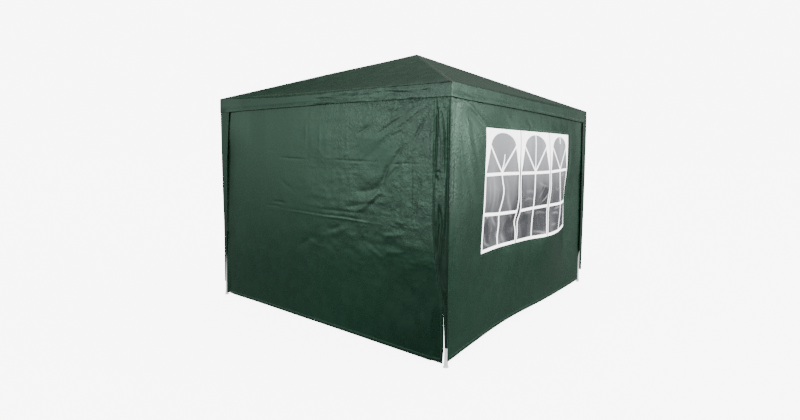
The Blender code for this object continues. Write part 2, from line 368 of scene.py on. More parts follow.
def maths(operation, swapped=False):
    """A method that does one sum with a number, which comes last in it when swapped."""

    def method(self, *others):
        node = self.finish.node("ShaderNodeMath", {"operation": operation})
        for slot, value in zip(node.inputs, (*others, self) if swapped else (self, *others)):
            self.finish.feed(slot, value)
        return Number(self.finish, node.outputs[0])

    return method


class Number:
    """A number that varies over a surface, written with Python's operators."""

    def __init__(self, finish, socket):
        self.finish = finish
        self.socket = socket

    __add__ = maths("ADD")
    __radd__ = maths("ADD", swapped=True)
    __sub__ = maths("SUBTRACT")
    __rsub__ = maths("SUBTRACT", swapped=True)
    __mul__ = maths("MULTIPLY")
    __truediv__ = maths("DIVIDE")
    __pow__ = maths("POWER")
    __lt__ = maths("LESS_THAN")
    __gt__ = maths("GREATER_THAN")
    least = maths("MINIMUM")
    most = maths("MAXIMUM")
    size = maths("ABSOLUTE")
    wave = maths("SINE")
    wrap = maths("WRAP")

    def repeat(self, length):
        """The number counted again from 0 at each length."""
        return self.wrap(length, 0.0)

    def between(self, low, high):
        """0 at low and 1 at high, with an even rise."""
        node = self.finish.node(
            "ShaderNodeMapRange", {"interpolation_type": "SMOOTHSTEP"}, Value=self
        )
        node.inputs["From Min"].default_value = low
        node.inputs["From Max"].default_value = high
        return Number(self.finish, node.outputs[0])


class Nodes:
    """A node tree, written one expression at a time."""

    def __init__(self, tree):
        self.tree = tree

    def feed(self, socket, value):
        if isinstance(value, Number):
            self.tree.links.new(value.socket, socket)
        elif isinstance(value, bpy.types.NodeSocket):
            self.tree.links.new(value, socket)
        else:
            socket.default_value = value

    def node(self, kind, settings=None, **inputs):
        """A node with its settings made first and then the values or links of its sockets."""
        made = self.tree.nodes.new(kind)
        for name, value in (settings or {}).items():
            setattr(made, name, value)
        for name, value in inputs.items():
            self.feed(made.inputs[name.replace("_", " ")], value)
        return made


class Finish(Nodes):
    """A material on the way: its nodes, and the shader that they feed."""

    def __init__(self, name, **constants):
        self.material = bpy.data.materials.new(name)
        self.material.use_nodes = True
        super().__init__(self.material.node_tree)
        self.shader = self.tree.nodes["Principled BSDF"]
        for socket, value in constants.items():
            self.shader.inputs[socket.replace("_", " ")].default_value = value

    def place(self, scale=(1, 1, 1)):
        """Object coordinates, scaled."""
        where = self.node("ShaderNodeTexCoord").outputs["Object"]
        return self.node("ShaderNodeMapping", Vector=where, Scale=scale).outputs[0]

    def cloth(self, axis):
        """Metres along the cloth, across (0) or up (1)."""
        where = self.node("ShaderNodeUVMap").outputs[0]
        parts = self.node("ShaderNodeSeparateXYZ", Vector=where)
        return Number(self, parts.outputs[axis])

    def height(self):
        where = self.node("ShaderNodeTexCoord").outputs["Object"]
        return Number(self, self.node("ShaderNodeSeparateXYZ", Vector=where).outputs[2])

    def noted(self, name):
        """A number kept at the points."""
        made = self.node("ShaderNodeAttribute", {"attribute_name": name})
        return Number(self, made.outputs["Fac"])

    def noise(self, scale, detail=2.0, roughness=0.5, vector=None, distortion=0.0):
        made = self.node(
            "ShaderNodeTexNoise",
            Vector=vector or self.place(),
            Scale=scale,
            Detail=detail,
            Roughness=roughness,
            Distortion=distortion,
        )
        return Number(self, made.outputs["Fac"])

    def blend(self, factor, first, second):
        """A colour between two colours."""
        made = self.node("ShaderNodeMix", {"data_type": "RGBA"})
        self.feed(made.inputs[0], factor)
        for slot, colour in ((made.inputs[6], first), (made.inputs[7], second)):
            self.feed(slot, (*colour, 1.0) if isinstance(colour, (tuple, list)) else colour)
        return made.outputs[2]

    def bump(self, height, distance, strength=1.0, below=None):
        made = self.node("ShaderNodeBump", Height=height, Distance=distance, Strength=strength)
        if below:
            self.feed(made.inputs["Normal"], below)
        return made.outputs[0]

    def set(self, **inputs):
        for name, value in inputs.items():
            self.feed(self.shader.inputs[name.replace("_", " ")], value)
        return self.material


# Stitches along a hem: how far apart, the gap between two, how far their two rows lie from the
# edge, and half a row's width
STITCH_SPACING = 0.006
STITCH_GAP = 0.0022
STITCH_ROWS = (0.021, 0.027)
STITCH_HALF_WIDTH = 0.0009
# The hem's second layer ends between these distances from the edge
HEM_END = (0.031, 0.029)
# Radians a metre of the weave, whose tapes lie 3 mm apart
WEAVE_TURNS = 2094.0

# Paler grey where the cloth is creased, partly a whitened coat and partly painted sheen; the green
# of painted shade in hollows; and the stitches' green
CREASE_GREY_AND_SHEEN = (0.125, 0.122, 0.135)
HOLLOW_SHADE_GREEN = (0.0006, 0.0045, 0.0022)
STITCH_GREEN = (0.055, 0.10, 0.075)


def sheet_finish(name, colours, worn=0.0, tint=(0.50, 0.98, 0.70), woven=0.35):
    """Green woven tape with a shiny coat, wrinkled into fine creases where it is handled; there it
    is painted a paler grey, partly a whitened coat and partly painted sheen, and its hollows get
    painted shade.
    """
    made = Finish(name, IOR=1.9, Specular_IOR_Level=0.5, Specular_Tint=(*tint, 1.0))
    crush = made.noted("crush")
    hem = made.noted("hem")
    stitch = (made.cloth(0) + made.cloth(1)).repeat(STITCH_SPACING) > STITCH_GAP
    outer_row, inner_row = ((hem - row).size() < STITCH_HALF_WIDTH for row in STITCH_ROWS)
    stitches = stitch * (outer_row + inner_row)
    cloud = made.noise(1.3, 3.0, 0.55)
    small = made.noise(9.0, 4.0, 0.6)
    pale = (cloud.between(0.35, 0.75) * 0.30 + small.between(0.45, 0.75) * 0.15 + worn).least(1.0)
    colour = made.blend(pale, tuple(colours.sheet), tuple(colours.sheet_pale))
    # Creased places are painted paler, partly a whitened coat and partly painted sheen
    colour = made.blend(crush.most(0.0) * 0.42, colour, CREASE_GREY_AND_SHEEN)
    # Painted shade: where the note is below 0, hollows and shaded places are darkened toward a
    # black green
    colour = made.blend((crush * -1.0).most(0.0), colour, HOLLOW_SHADE_GREEN)
    colour = made.blend(stitches * 0.7, colour, STITCH_GREEN)
    threads = (made.cloth(0) * WEAVE_TURNS).wave() * (made.cloth(1) * WEAVE_TURNS).wave()
    ridges = (made.noise(26.0, 3.0, 0.55, distortion=0.6) - 0.5).size()
    veins = (made.noise(62.0, 2.0, 0.5, distortion=0.4) - 0.5).size()
    grain = made.noise(170.0, 2.0, 0.6)
    handled = crush.most(0.0) * 0.99 + 0.01
    normal = made.bump(threads * 0.5 + 0.5, 0.00012, woven)
    normal = made.bump(grain * handled, 0.0008, 1.0, normal)
    normal = made.bump((ridges + veins * 0.5) * handled, 0.0075, 1.0, normal)
    normal = made.bump(hem.between(*HEM_END) - stitches * 0.35, 0.0009, 0.8, normal)
    rough = 0.25 + small.between(0.3, 0.8) * 0.08
    return made.set(Base_Color=colour, Roughness=rough, Normal=normal)


DUST_BROWN = (0.45, 0.43, 0.38)
# Dust thins out up to this height
DUST_TOP = 0.35


def steel_finish(colours):
    """White powder coat: a fine orange peel, dust near the ground, and a painted glow of its own
    colour.
    """
    # It glows with its own colour: a painted glow
    made = Finish("white_powder_coat", Coat_Weight=0.15, Emission_Strength=0.9)
    peel = made.noise(420.0, 2.0, 0.5)
    dust = made.noise(35.0, 3.0, 0.6).between(0.35, 0.8) * made.height().between(DUST_TOP, 0.0)
    colour = made.blend(dust * 0.45, tuple(colours.steel), DUST_BROWN)
    rough = 0.30 + peel * 0.08 + dust * 0.3
    normal = made.bump(peel, 0.0002, 0.35)
    return made.set(Base_Color=colour, Emission_Color=colour, Roughness=rough, Normal=normal)


# The film's painted dim reflection low down, and its painted glint
FILM_LOW_REFLECTION = (0.094, 0.098, 0.106)
FILM_GLINT = (0.85, 0.85, 0.87)
# The film is painted with a dim reflection below the first height and a milky, bright reflection of
# the sky above the second
FILM_REFLECTION_RISE = (1.02, 1.79)


def film_finish(colours):
    """Milky clear film, painted paler above than below as a reflection, with painted glints on its
    creases, painted shade in its hollows and a painted glow.
    """
    # The film glows with its own colour: a painted glow
    made = Finish("clear_window_film", Specular_IOR_Level=0.6, Emission_Strength=0.36)
    crush = made.noted("crush")
    shine = made.noted("shine")
    soft = made.noise(4.0, 2.0, 0.5, vector=made.place((1, 1, 0.35)))
    crinkle = made.noise(15.0, 3.0, 0.6, vector=made.place((1, 1, 0.4)), distortion=1.2)
    fine = (made.noise(45.0, 3.0, 0.6, distortion=0.8) - 0.5).size()
    haze_and_reflection = made.height().between(*FILM_REFLECTION_RISE) * 0.75 + soft.between(0.35, 0.7) * 0.25
    haze_and_reflection = (haze_and_reflection.least(1.0) + shine.least(0.0)).most(0.0)
    colour = made.blend(haze_and_reflection, FILM_LOW_REFLECTION, tuple(colours.film))
    glint = (crinkle.between(0.58, 0.70) * crush * 0.13 + shine.most(0.0)).least(1.0)
    colour = made.blend(glint, colour, FILM_GLINT)
    normal = made.bump((crinkle * 0.5 + fine * 0.3) * crush, 0.0028, 0.8)
    alpha = 0.74 + haze_and_reflection * 0.1 + glint * 0.16
    rough = 0.16 + soft * 0.1
    return made.set(
        Base_Color=colour, Emission_Color=colour, Roughness=rough, Alpha=alpha, Normal=normal
    )


TRIM_SHADE = (0.76, 0.76, 0.79)


def trim_finish(colours):
    """White print on the film: slightly uneven, with a painted glow of its own colour."""
    # A painted glow that brightens the white print
    made = Finish("white_window_bars", Specular_IOR_Level=0.5, Emission_Strength=4.9)
    uneven = made.noise(14.0, 3.0, 0.6)
    colour = made.blend(uneven.between(0.35, 0.7), tuple(colours.trim), TRIM_SHADE)
    rough = 0.32 + uneven * 0.15
    normal = made.bump(uneven, 0.002, 0.4)
    return made.set(Base_Color=colour, Emission_Color=colour, Roughness=rough, Normal=normal)


# How the cloth hangs

# Folds of the front wall: width, height, lean, and (across, up) points. A height below 0 is a
# valley, and all the heights grow by FRONT_FOLD_SCALE.
FRONT_FOLDS = (
    (0.020, -0.0042, 0.2, (
        (1.22, 2.005), (1.15, 1.975), (1.06, 1.935), (0.96, 1.912), (0.86, 1.885), (0.78, 1.86),
    )),
    (0.014, 0.0030, 0.0, ((1.06, 1.91), (0.98, 1.885), (0.90, 1.84), (0.82, 1.795), (0.75, 1.765))),
    (0.016, -0.0042, 0.2, (
        (1.08, 1.90), (1.00, 1.872), (0.92, 1.835), (0.84, 1.795), (0.76, 1.755),
    )),
    (0.012, 0.0026, 0.0, ((1.03, 1.80), (0.97, 1.775), (0.92, 1.75))),
    (0.016, -0.0030, 0.2, ((0.70, 1.815), (0.64, 1.795), (0.58, 1.765), (0.54, 1.745))),
    (0.014, -0.0016, 0.2, ((0.62, 2.00), (0.54, 1.985), (0.46, 1.965))),
    (0.010, -0.0060, 0.3, (
        (1.285, 1.92), (1.255, 1.865), (1.225, 1.82), (1.195, 1.78), (1.17, 1.73), (1.13, 1.67),
    )),
    (0.026, -0.0024, 0.1, (
        (1.10, 1.80), (1.03, 1.68), (1.005, 1.61), (0.965, 1.555), (0.93, 1.52), (0.875, 1.47),
        (0.845, 1.41), (0.825, 1.35), (0.79, 1.31), (0.71, 1.285), (0.62, 1.27),
    )),
    (0.018, -0.0024, 0.0, (
        (0.90, 1.49), (0.865, 1.465), (0.845, 1.42), (0.835, 1.385), (0.80, 1.36),
    )),
    (0.014, -0.0026, 0.0, (
        (1.00, 1.51), (0.985, 1.485), (0.95, 1.455), (0.925, 1.43), (0.90, 1.40),
    )),
    (0.013, -0.0018, 0.0, ((1.04, 1.66), (1.01, 1.615), (0.985, 1.58), (0.955, 1.55))),
    (0.040, -0.0022, 0.0, (
        (0.86, 1.36), (0.80, 1.325), (0.72, 1.295), (0.62, 1.275), (0.50, 1.27),
    )),
    (0.028, 0.0036, 0.2, (
        (0.80, 1.275), (0.74, 1.235), (0.68, 1.19), (0.62, 1.145), (0.54, 1.095),
    )),
    (0.018, -0.0024, 0.0, ((0.83, 1.255), (0.78, 1.225), (0.73, 1.19), (0.68, 1.155))),
    (0.018, -0.0030, 0.2, ((0.68, 1.185), (0.60, 1.155), (0.50, 1.135), (0.42, 1.125))),
    (0.010, -0.0042, 0.3, (
        (1.215, 1.42), (1.205, 1.34), (1.19, 1.26), (1.175, 1.18), (1.165, 1.06),
    )),
    (0.020, -0.0032, 0.2, ((1.17, 1.17), (1.155, 1.10), (1.14, 1.05))),
    (0.013, -0.0034, 0.2, ((1.13, 1.50), (1.13, 1.34), (1.13, 1.18), (1.12, 1.06))),
    (0.008, -0.0016, 0.3, ((0.93, 1.515), (0.97, 1.514), (1.02, 1.512))),
    (0.012, 0.0022, 0.0, ((1.313, 1.96), (1.314, 1.80), (1.310, 1.62), (1.308, 1.50))),
    (0.009, -0.0012, 0.3, ((0.20, 1.533), (0.45, 1.527), (0.75, 1.526))),
    (0.009, -0.0012, 0.3, ((0.93, 1.512), (1.05, 1.52), (1.18, 1.526))),
    (0.009, -0.0011, 0.3, ((-0.52, 1.536), (-0.36, 1.530), (-0.12, 1.526))),
    (0.009, -0.0008, 0.3, ((-0.70, 1.603), (-0.55, 1.603))),
    (0.010, 0.0009, 1.0, ((0.12, 1.024), (0.40, 1.028), (0.62, 1.020))),
    (0.011, 0.0007, 1.0, (
        (-0.45, 1.034), (-0.20, 1.030), (0.15, 1.024), (0.40, 1.028), (0.62, 1.020), (0.90, 1.014),
    )),
    (0.010, -0.0016, 0.4, ((0.10, 1.083), (0.30, 1.087), (0.50, 1.087), (0.62, 1.10))),
    (0.010, -0.0014, 0.3, ((-0.62, 1.10), (-0.50, 1.102), (-0.40, 1.095))),
    (0.010, -0.0008, 0.3, ((-0.72, 1.055), (-0.60, 1.06), (-0.45, 1.05))),
    (0.018, -0.0008, 0.3, ((-0.50, 1.330), (-0.41, 1.275), (-0.31, 1.240))),
    (0.011, 0.0010, 0.3, ((0.065, 1.86), (0.065, 1.58))),
    (0.011, 0.0010, 0.3, ((0.415, 1.82), (0.415, 1.56))),
    (0.011, 0.0008, 0.3, ((-0.124, 1.86), (-0.124, 1.63))),
    (0.020, 0.0008, 0.5, ((-0.12, 0.80), (0.05, 0.75), (0.22, 0.745))),
    (0.034, -0.0019, 0.2, ((-0.24, 0.70), (-0.16, 0.74), (-0.06, 0.80), (0.04, 0.82))),
    (0.030, 0.0015, 0.2, ((0.04, 0.84), (0.15, 0.85), (0.30, 0.90), (0.44, 0.95))),
    (0.030, -0.0018, 0.2, ((0.18, 0.90), (0.28, 0.93), (0.40, 1.0))),
    (0.030, 0.0012, 0.3, ((0.40, 0.83), (0.52, 0.80), (0.60, 0.76))),
    (0.034, -0.0014, 0.3, ((0.55, 0.87), (0.74, 0.84), (0.92, 0.87), (1.10, 0.83))),
    (0.024, 0.0014, 0.3, ((0.66, 0.80), (0.78, 0.77), (0.85, 0.72))),
    (0.018, 0.0018, 0.4, ((0.80, 0.95), (0.86, 0.93), (0.92, 0.94), (1.05, 0.955))),
)
FRONT_FOLD_SCALE = 1.6
# Where the front wall is pulled tight
FRONT_CORNER = (1.39, 2.04)

# Folds of the right wall, in the same form, and where it is pulled tight
RIGHT_FOLDS = (
    (0.022, 0.0050, 0.5, ((-1.28, 2.01), (-1.212, 1.983), (-1.073, 1.908), (-0.945, 1.842))),
    (0.026, -0.0062, 0.2, (
        (-1.29, 1.975), (-1.20, 1.94), (-1.105, 1.897), (-1.03, 1.846), (-0.97, 1.80),
    )),
    (0.050, 0.0030, 0.3, (
        (-1.24, 1.90), (-1.22, 1.72), (-1.18, 1.52), (-1.10, 1.32), (-1.04, 1.12),
    )),
    (0.050, -0.0034, 0.0, ((-1.27, 1.62), (-1.24, 1.45), (-1.15, 1.28), (-1.05, 1.10))),
    (0.020, -0.0016, 0.2, ((-1.20, 1.85), (-1.12, 1.62), (-1.04, 1.45))),
    (0.012, -0.0035, 0.3, ((-1.395, 1.50), (-1.393, 1.40), (-1.39, 1.30))),
    (0.030, 0.0030, 0.3, ((0.34, 1.89), (0.42, 1.865), (0.50, 1.87))),
    (0.026, -0.0030, 0.3, ((-0.20, 1.95), (-0.14, 1.90), (-0.08, 1.85))),
    (0.026, 0.0028, 0.3, ((-0.60, 1.96), (-0.52, 1.91), (-0.44, 1.87))),
    (0.034, -0.0060, 0.0, ((0.985, 1.86), (0.99, 1.60), (0.965, 1.35), (0.93, 1.15), (0.93, 0.80))),
)
RIGHT_CORNER = (-1.40, 2.05)

# How far the window stands out, in millimetres: a row for each of its jambs, seams and middle
# bars, with a value at each height
SWAY_HEIGHTS = (0.78, 0.87, 0.97, 1.07, 1.17, 1.27, 1.40, 1.67)
SWAY_PLACES = (-0.965, -0.652, -0.338, -0.025, 0.288, 0.602, 0.915)
SWAY = (
    (-22, -20, -14, -8, -2, 0, 4, 10),
    (-37, -42, -31, -28, -3, 14, -3, 0),
    (-15, -7, -15, 12, 23, 22, 23, 23),
    (4, 8, 14, 22, 28, 32, 34, 34),
    (46, 42, 40, 44, 56, 66, 64, 49),
    (40, 46, 54, 57, 53, 49, 45, 38),
    (-24, -24, -24, -24, -18, -11, 2, 8),
)

# Painted glints on the film's creases: width, strength and (across, up) points. A strength below 0
# is painted shade in a hollow, and the last two darken the seams between the lights.
FILM_SHINE = (
    (0.014, 0.40, ((-0.615, 1.28), (-0.55, 1.19), (-0.497, 1.12), (-0.45, 1.03), (-0.43, 0.98))),
    (0.010, 0.30, ((-0.80, 1.42), (-0.80, 1.30), (-0.80, 1.12))),
    (0.010, 0.22, ((-0.74, 1.30), (-0.73, 1.12))),
    (0.012, 0.45, ((-0.81, 1.07), (-0.76, 1.02), (-0.71, 0.97))),
    (0.012, 0.35, ((-0.70, 0.92), (-0.65, 0.86), (-0.61, 0.80))),
    (0.014, 0.40, ((-0.60, 0.89), (-0.56, 0.84), (-0.53, 0.80))),
    (0.007, 1.10, ((-0.92, 1.075), (-0.885, 1.052), (-0.855, 1.062), (-0.81, 1.075))),
    (0.012, 0.35, ((-0.20, 1.245), (-0.10, 1.245), (-0.03, 1.23))),
    (0.010, 0.30, ((-0.22, 1.045), (-0.12, 1.035), (-0.04, 1.03))),
    (0.010, 0.30, ((0.02, 1.015), (0.12, 1.02), (0.24, 1.00))),
    (0.007, 0.80, ((0.135, 1.12), (0.19, 1.145), (0.24, 1.18), (0.265, 1.22))),
    (0.008, 0.50, ((0.0, 0.84), (0.113, 0.83), (0.252, 0.81), (0.30, 0.84))),
    (0.008, 0.45, ((0.03, 0.78), (0.14, 0.795), (0.25, 0.82))),
    (0.008, 0.60, ((0.42, 1.02), (0.50, 1.035), (0.61, 1.03))),
    (0.007, 0.60, ((0.38, 0.985), (0.47, 0.985), (0.52, 0.975), (0.55, 0.96))),
    (0.010, 0.35, ((0.38, 0.87), (0.50, 0.865))),
    (0.012, 0.90, ((0.55, 1.10), (0.60, 1.135), (0.64, 1.16))),
    (0.014, 0.25, ((0.74, 1.10), (0.76, 0.95), (0.755, 0.83))),
    (0.016, 0.30, ((0.80, 1.36), (0.82, 1.20), (0.80, 1.05))),
    (0.012, 0.90, ((0.70, 1.385), (0.73, 1.375), (0.76, 1.38))),
    (0.008, 0.45, ((-0.92, 0.86), (-0.86, 0.83), (-0.80, 0.81))),
    (0.008, 0.35, ((-0.94, 0.92), (-0.90, 0.87), (-0.88, 0.82))),
    (0.060, -0.32, ((-0.22, 1.00), (-0.20, 0.93), (-0.14, 0.86))),
    (0.150, -0.13, ((-0.28, 1.24), (-0.05, 1.22), (0.25, 1.24))),
    (0.008, 0.30, ((-0.88, 1.40), (-0.87, 1.26), (-0.87, 1.12))),
    (0.008, 0.26, ((-0.58, 1.40), (-0.57, 1.28), (-0.53, 1.16))),
    (0.007, 0.34, ((0.05, 1.33), (0.15, 1.29), (0.26, 1.27))),
    (0.007, 0.34, ((0.06, 1.16), (0.13, 1.22), (0.18, 1.30))),
    (0.007, 0.40, ((-0.24, 1.16), (-0.15, 1.18), (-0.05, 1.16))),
    (0.007, 0.36, ((0.42, 1.26), (0.50, 1.22), (0.57, 1.24))),
    (0.060, -0.30, ((-0.52, 1.0), (-0.46, 0.92), (-0.42, 0.84))),
    (0.070, -0.25, ((0.12, 1.22), (0.20, 1.24), (0.26, 1.20))),
    (0.060, -0.25, ((-0.93, 1.02), (-0.90, 0.92))),
    (0.024, -1.50, ((-0.338, 0.66), (-0.338, 1.30), (-0.338, 1.90))),
    (0.020, -1.50, ((0.288, 0.66), (0.288, 1.30), (0.288, 1.90))),
)


def folds_of(table, x, z):
    """The height that all the folds of a table add up to."""
    return sum(fold(x, z, path, width, height, lean) for width, height, lean, path in table)


def curve_through(places, values, at):
    """A smooth curve through values at places, with one value or one row of them a place."""
    places, values = np.asarray(places, float), np.asarray(values, float)
    slopes = np.gradient(values, places, axis=0)
    left = np.clip(np.searchsorted(places, at) - 1, 0, len(places) - 2)
    gap = places[left + 1] - places[left]
    t = np.clip((at - places[left]) / gap, 0, 1)
    rows = (left, np.arange(len(at))) if values.ndim > 1 else (left,)
    after = (left + 1, *rows[1:])
    out = (1 + 2 * t) * (1 - t) ** 2 * values[rows] + t * t * (3 - 2 * t) * values[after]
    return out + gap * (t * (1 - t) ** 2 * slopes[rows] - t * t * (1 - t) * slopes[after])


def fan(x, z, corner, seed, count, reach):
    """Folds that spread from a corner where the sheet is pulled tight."""
    dx, dz = x - corner[0], z - corner[1]
    far = np.hypot(dx, dz)
    turn = np.arctan2(-dz, np.abs(dx)) * count
    wave = ripple(turn, far * 1.3, seed) + 0.5 * ripple(turn * 2.1, far * 2, seed + 5)
    return wave * smooth(0.02, 0.25, far) * np.exp(-((far / reach) ** 2))


# How far in from its upright edges a wall hangs free
EDGE_HOLD = 0.22


def free_ends(x, low, high):
    """1 in the middle of a wall and 0 at its upright edges, which the ties and tails hold."""
    return smooth(0.0, EDGE_HOLD, x - low.x) * smooth(0.0, EDGE_HOLD, high.x - x)


def front_drape(x, z, low, high):
    """How far the front wall stands out and how creased and paler with painted sheen it is, most at
    the near corner, +X, with painted shade low on the right.
    """
    hang = free_ends(x, low, high)
    handled = smooth(-0.7, 0.9, x) * smooth(0.30, 0.95, z)
    calm = 1 - 0.85 * hill(x, 0.76, 0.24) * hill(z, 1.63, 0.16)
    out = 0.006 * ripple(x * 1.1, z * 0.8, 3) * hang
    out += folds_of(FRONT_FOLDS, x, z) * FRONT_FOLD_SCALE
    out += 0.0030 * fan(x, z, FRONT_CORNER, 11, 14.0, 0.8)
    out += 0.0022 * fan(x, z, FRONT_CORNER, 21, 30.0, 0.5)
    # Creases, from broad to fine and from all over to the upright band beside the tail
    out += 0.0030 * creases(x * 1.7, z * 2.1, 41, 2) * hang * (0.5 + 0.5 * handled)
    out += 0.0022 * creases(x * 4.2, z * 6.2, 31) * handled * calm
    out += 0.0018 * creases(x * 10.0, z * 13.0, 33) * handled * calm
    out += 0.0010 * creases(x * 13.0, z * 30.0, 43, 2) * hill(x, 0.95, 0.45) * hill(z, 1.12, 0.22)
    out += 0.0013 * creases(x * 9.0, z * 11.0, 35) * smooth(0.80, 0.95, x) * hill(z, 1.35, 0.4)
    out += 0.0016 * creases(x * 19.0, z * 9.0, 39) * smooth(0.85, 1.1, x) * smooth(0.7, 1.1, z)
    # The hem swings out on the right and in on the left
    out += (0.012 * smooth(0, 1.2, x) - 0.008 * smooth(0, -0.9, x)) * smooth(0.6, 0.05, z)
    # The left edge stands out where its tail holds it, and curls in below
    held = smooth(1.50, 1.85, z)
    out += 0.010 * smooth(low.x + 0.45, low.x + 0.06, x) * held
    out -= 0.014 * np.clip((low.x + 0.18 - x) / 0.18, 0, 1) ** 2 * (1 - held)
    # The right edge goes in behind the near tail
    tail_edge = NEAR_TAIL_CORNER - np.interp(z, TAIL_HEIGHTS, TAIL_WIDTHS["front_right"][0])
    out -= 0.016 * smooth(tail_edge - 0.012, tail_edge + 0.024, x) * smooth(0.45, 0.6, z)
    # Paler up high, partly creases and partly painted sheen; below 0, painted shade low on the
    # right
    crush = smooth(-0.3, 1.0, x) * smooth(0.60, 1.25, z) * (0.42 + 0.43 * smooth(1.35, 1.75, z))
    crush += 0.15 * smooth(0.9, 1.2, x) * smooth(0.60, 1.0, z)
    return out, crush * calm - 0.40 * smooth(0.5, 1.25, x) * smooth(0.95, 0.60, z)


def sway(x, z):
    """How far the window wall stands out or in at the window, fading to nothing round it."""
    inside_x = np.clip(x, SWAY_PLACES[0], SWAY_PLACES[-1])
    inside_z = np.clip(z, SWAY_HEIGHTS[0], SWAY_HEIGHTS[-1])
    bars = [curve_through(SWAY_HEIGHTS, bar, inside_z) for bar in SWAY]
    out = curve_through(SWAY_PLACES, np.array(bars), inside_x) / 1000
    fade = smooth(-1.42, SWAY_PLACES[0], x) * smooth(1.38, SWAY_PLACES[-1], x)
    return out * fade * smooth(0.10, SWAY_HEIGHTS[0], z) * smooth(2.04, 1.68, z)


def right_drape(x, z, low, high):
    """How far the right wall stands out and how creased and paler with painted sheen it is, most at
    the near corner, -X.
    """
    hang = free_ends(x, low, high)
    near = smooth(-0.7, -1.3, x) * smooth(0.5, 1.4, z)
    top = smooth(1.8, 1.9, z)
    out = sway(x, z)
    # Below the window the cloth hangs back
    out += -0.034 * hill(x, -0.50, 0.75) * smooth(0.75, 0.05, z) * hang
    out += 0.003 * ripple(x * 1.2, z * 0.9, 7) * hang
    out += 0.0014 * fan(x, z, RIGHT_CORNER, 17, 12.0, 0.8)
    out += folds_of(RIGHT_FOLDS, x, z)
    # Creases near the corner, all over and above the window
    out += 0.0012 * creases(x * 7.5, z * 4.2, 37) * (0.05 + 0.95 * near)
    out += 0.0016 * creases(x * 2.2, z * 2.2, 47, 2) * hang
    out += 0.0008 * creases(x * 3.0, z * 8.0, 57) * top * hang
    # The far edge stands out where its tail holds it, and curls in below
    held = smooth(1.25, 1.60, z)
    out += 0.010 * smooth(high.x - 0.25, high.x - 0.06, x) * held
    curl = np.clip((x - high.x + 0.10) / 0.10, 0, 1) ** 2
    out -= 0.0036 * curl * (1 - held) * smooth(0.45, 0.75, z)
    # Paler near the corner, partly creases and partly painted sheen
    return out, 0.01 + 0.32 * near + 0.02 * top


def right_lift(x, z):
    """How far the right wall's hem and window are drawn up, or sag, along its own plane."""
    lift = 0.023 * hill(x, -0.45, 0.80) * smooth(0.55, 0.04, z)
    lift += 0.026 * hill(x, -0.98, 0.22) * hill(z, 1.08, 0.12)
    lift -= 0.022 * hill(x, 0.35, 0.40) * hill(z, 0.75, 0.14)
    return lift - 0.010 * hill(x, 0.1, 0.5) * hill(z, 1.43, 0.15)


# How high the corners are from which a plain wall's folds spread
PLAIN_CORNER_HEIGHT = 2.06


def plain_drape(x, z, low, high, seed):
    """How far a wall that doesn't show stands out and how creased and paler with painted sheen it
    is, other for each seed.
    """
    hang = free_ends(x, low, high)
    out = 0.011 * ripple(x * 1.1, z * 0.8, seed) * hang
    out += 0.0036 * fan(x, z, (high.x - 0.03, PLAIN_CORNER_HEIGHT), seed + 1, 10.0, 1.0)
    out += 0.0036 * fan(x, z, (low.x + 0.03, PLAIN_CORNER_HEIGHT), seed + 2, 10.0, 0.9)
    out += 0.0005 * creases(x * 9, z * 9, seed + 3)
    out += 0.0028 * creases(x * 2.6, z * 3.0, seed + 4) * hang
    out += -0.012 * (1 - smooth(0.05, 0.5, z)) * hang
    return out, 0.12 + 0.35 * smooth(0.5, 1.4, np.abs(x)) * smooth(0.4, 1.5, z)


def left_drape(x, z, low, high):
    """The plain hang, bellied out at the window."""
    out, crush = plain_drape(x, z, low, high, 63)
    belly = 0.035 * hill(x, 0.0, 0.7) * hill(z, 1.2, 0.6)
    return out + belly * free_ends(x, low, high), crush


def back_drape(x, z, low, high):
    """The plain hang."""
    return plain_drape(x, z, low, high, 83)


DRAPES = {"front": front_drape, "right": right_drape, "back": back_drape, "left": left_drape}


def film_folds(x, z, low, high, looseness):
    """Loose folds of the film inside its frame, most below, on top of what the wall does."""
    inside = smooth(0.0, 0.14, x - low.x) * smooth(0.0, 0.14, high.x - x)
    inside = inside * smooth(0.0, 0.20, z - low.z) * smooth(0.0, 0.10, high.z - z)
    loose = (0.35 + 0.65 * smooth(1.55, 1.0, z)) * looseness
    out = 0.010 * ripple(x * 4.2, z * 2.2 + x * 1.5, 91) * loose
    out += 0.006 * creases(x * 5.0, z * 3.6, 95, 2) * loose
    out += 0.0016 * creases(x * 14, z * 12, 97, 2) * smooth(1.6, 1.1, z)
    return out * inside


# The tent's pieces


class TENT_OT_frame(Operator):
    """Paint the steel frame"""

    bl_idname = "tent.frame"
    bl_label = "Frame"

    def execute(self, context):
        steel = steel_finish(context.scene.tent_colours)
        for entry in frame["record"]["subparts"]:
            if entry["material_slot"] == "white_steel":
                materials = frame["nodes"][entry["node"]].data.materials
                materials.clear()
                materials.append(steel)
        return {"FINISHED"}


# How far each corner of the cover stands out, in the order of CORNERS
CORNER_BULGE = (0.0, 0.008, 0.008, 0.009)
# The roof's faces are cut this many times over, each time with this many cuts an edge
ROOF_ROUNDS = 2
ROOF_CUTS = 9
# Above 1, this draws the roof's rows together at the eave
EAVE_GATHER = 1.5
# The sag ends this far before the eave, and the cover turns down over the last stretch
SAG_END = 0.045
EAVE_TURN = 0.030
# Metres up the slope for each metre in from the eave
SLANT = math.sqrt(1 + SLOPE**2)
# Keeps a division away from 0 at the peak
NEARLY_ZERO = 1e-6


def pyramid(name):
    """A pyramid from the eave to the peak, cut into small faces."""
    bpy.ops.object.select_all(action="DESELECT")
    bpy.ops.mesh.primitive_cone_add(
        vertices=4,
        radius1=HALF * math.sqrt(2),
        radius2=0,
        depth=PEAK - EAVE,
        end_fill_type="NOTHING",
        location=(0, 0, (PEAK + EAVE) / 2),
        rotation=(0, 0, math.pi / 4),
    )
    roof = bpy.context.object
    roof.name = roof.data.name = name
    apply_place(roof)
    for _ in range(ROOF_ROUNDS):
        edit_all(roof, bpy.ops.mesh.subdivide, number_cuts=ROOF_CUTS)
    return roof


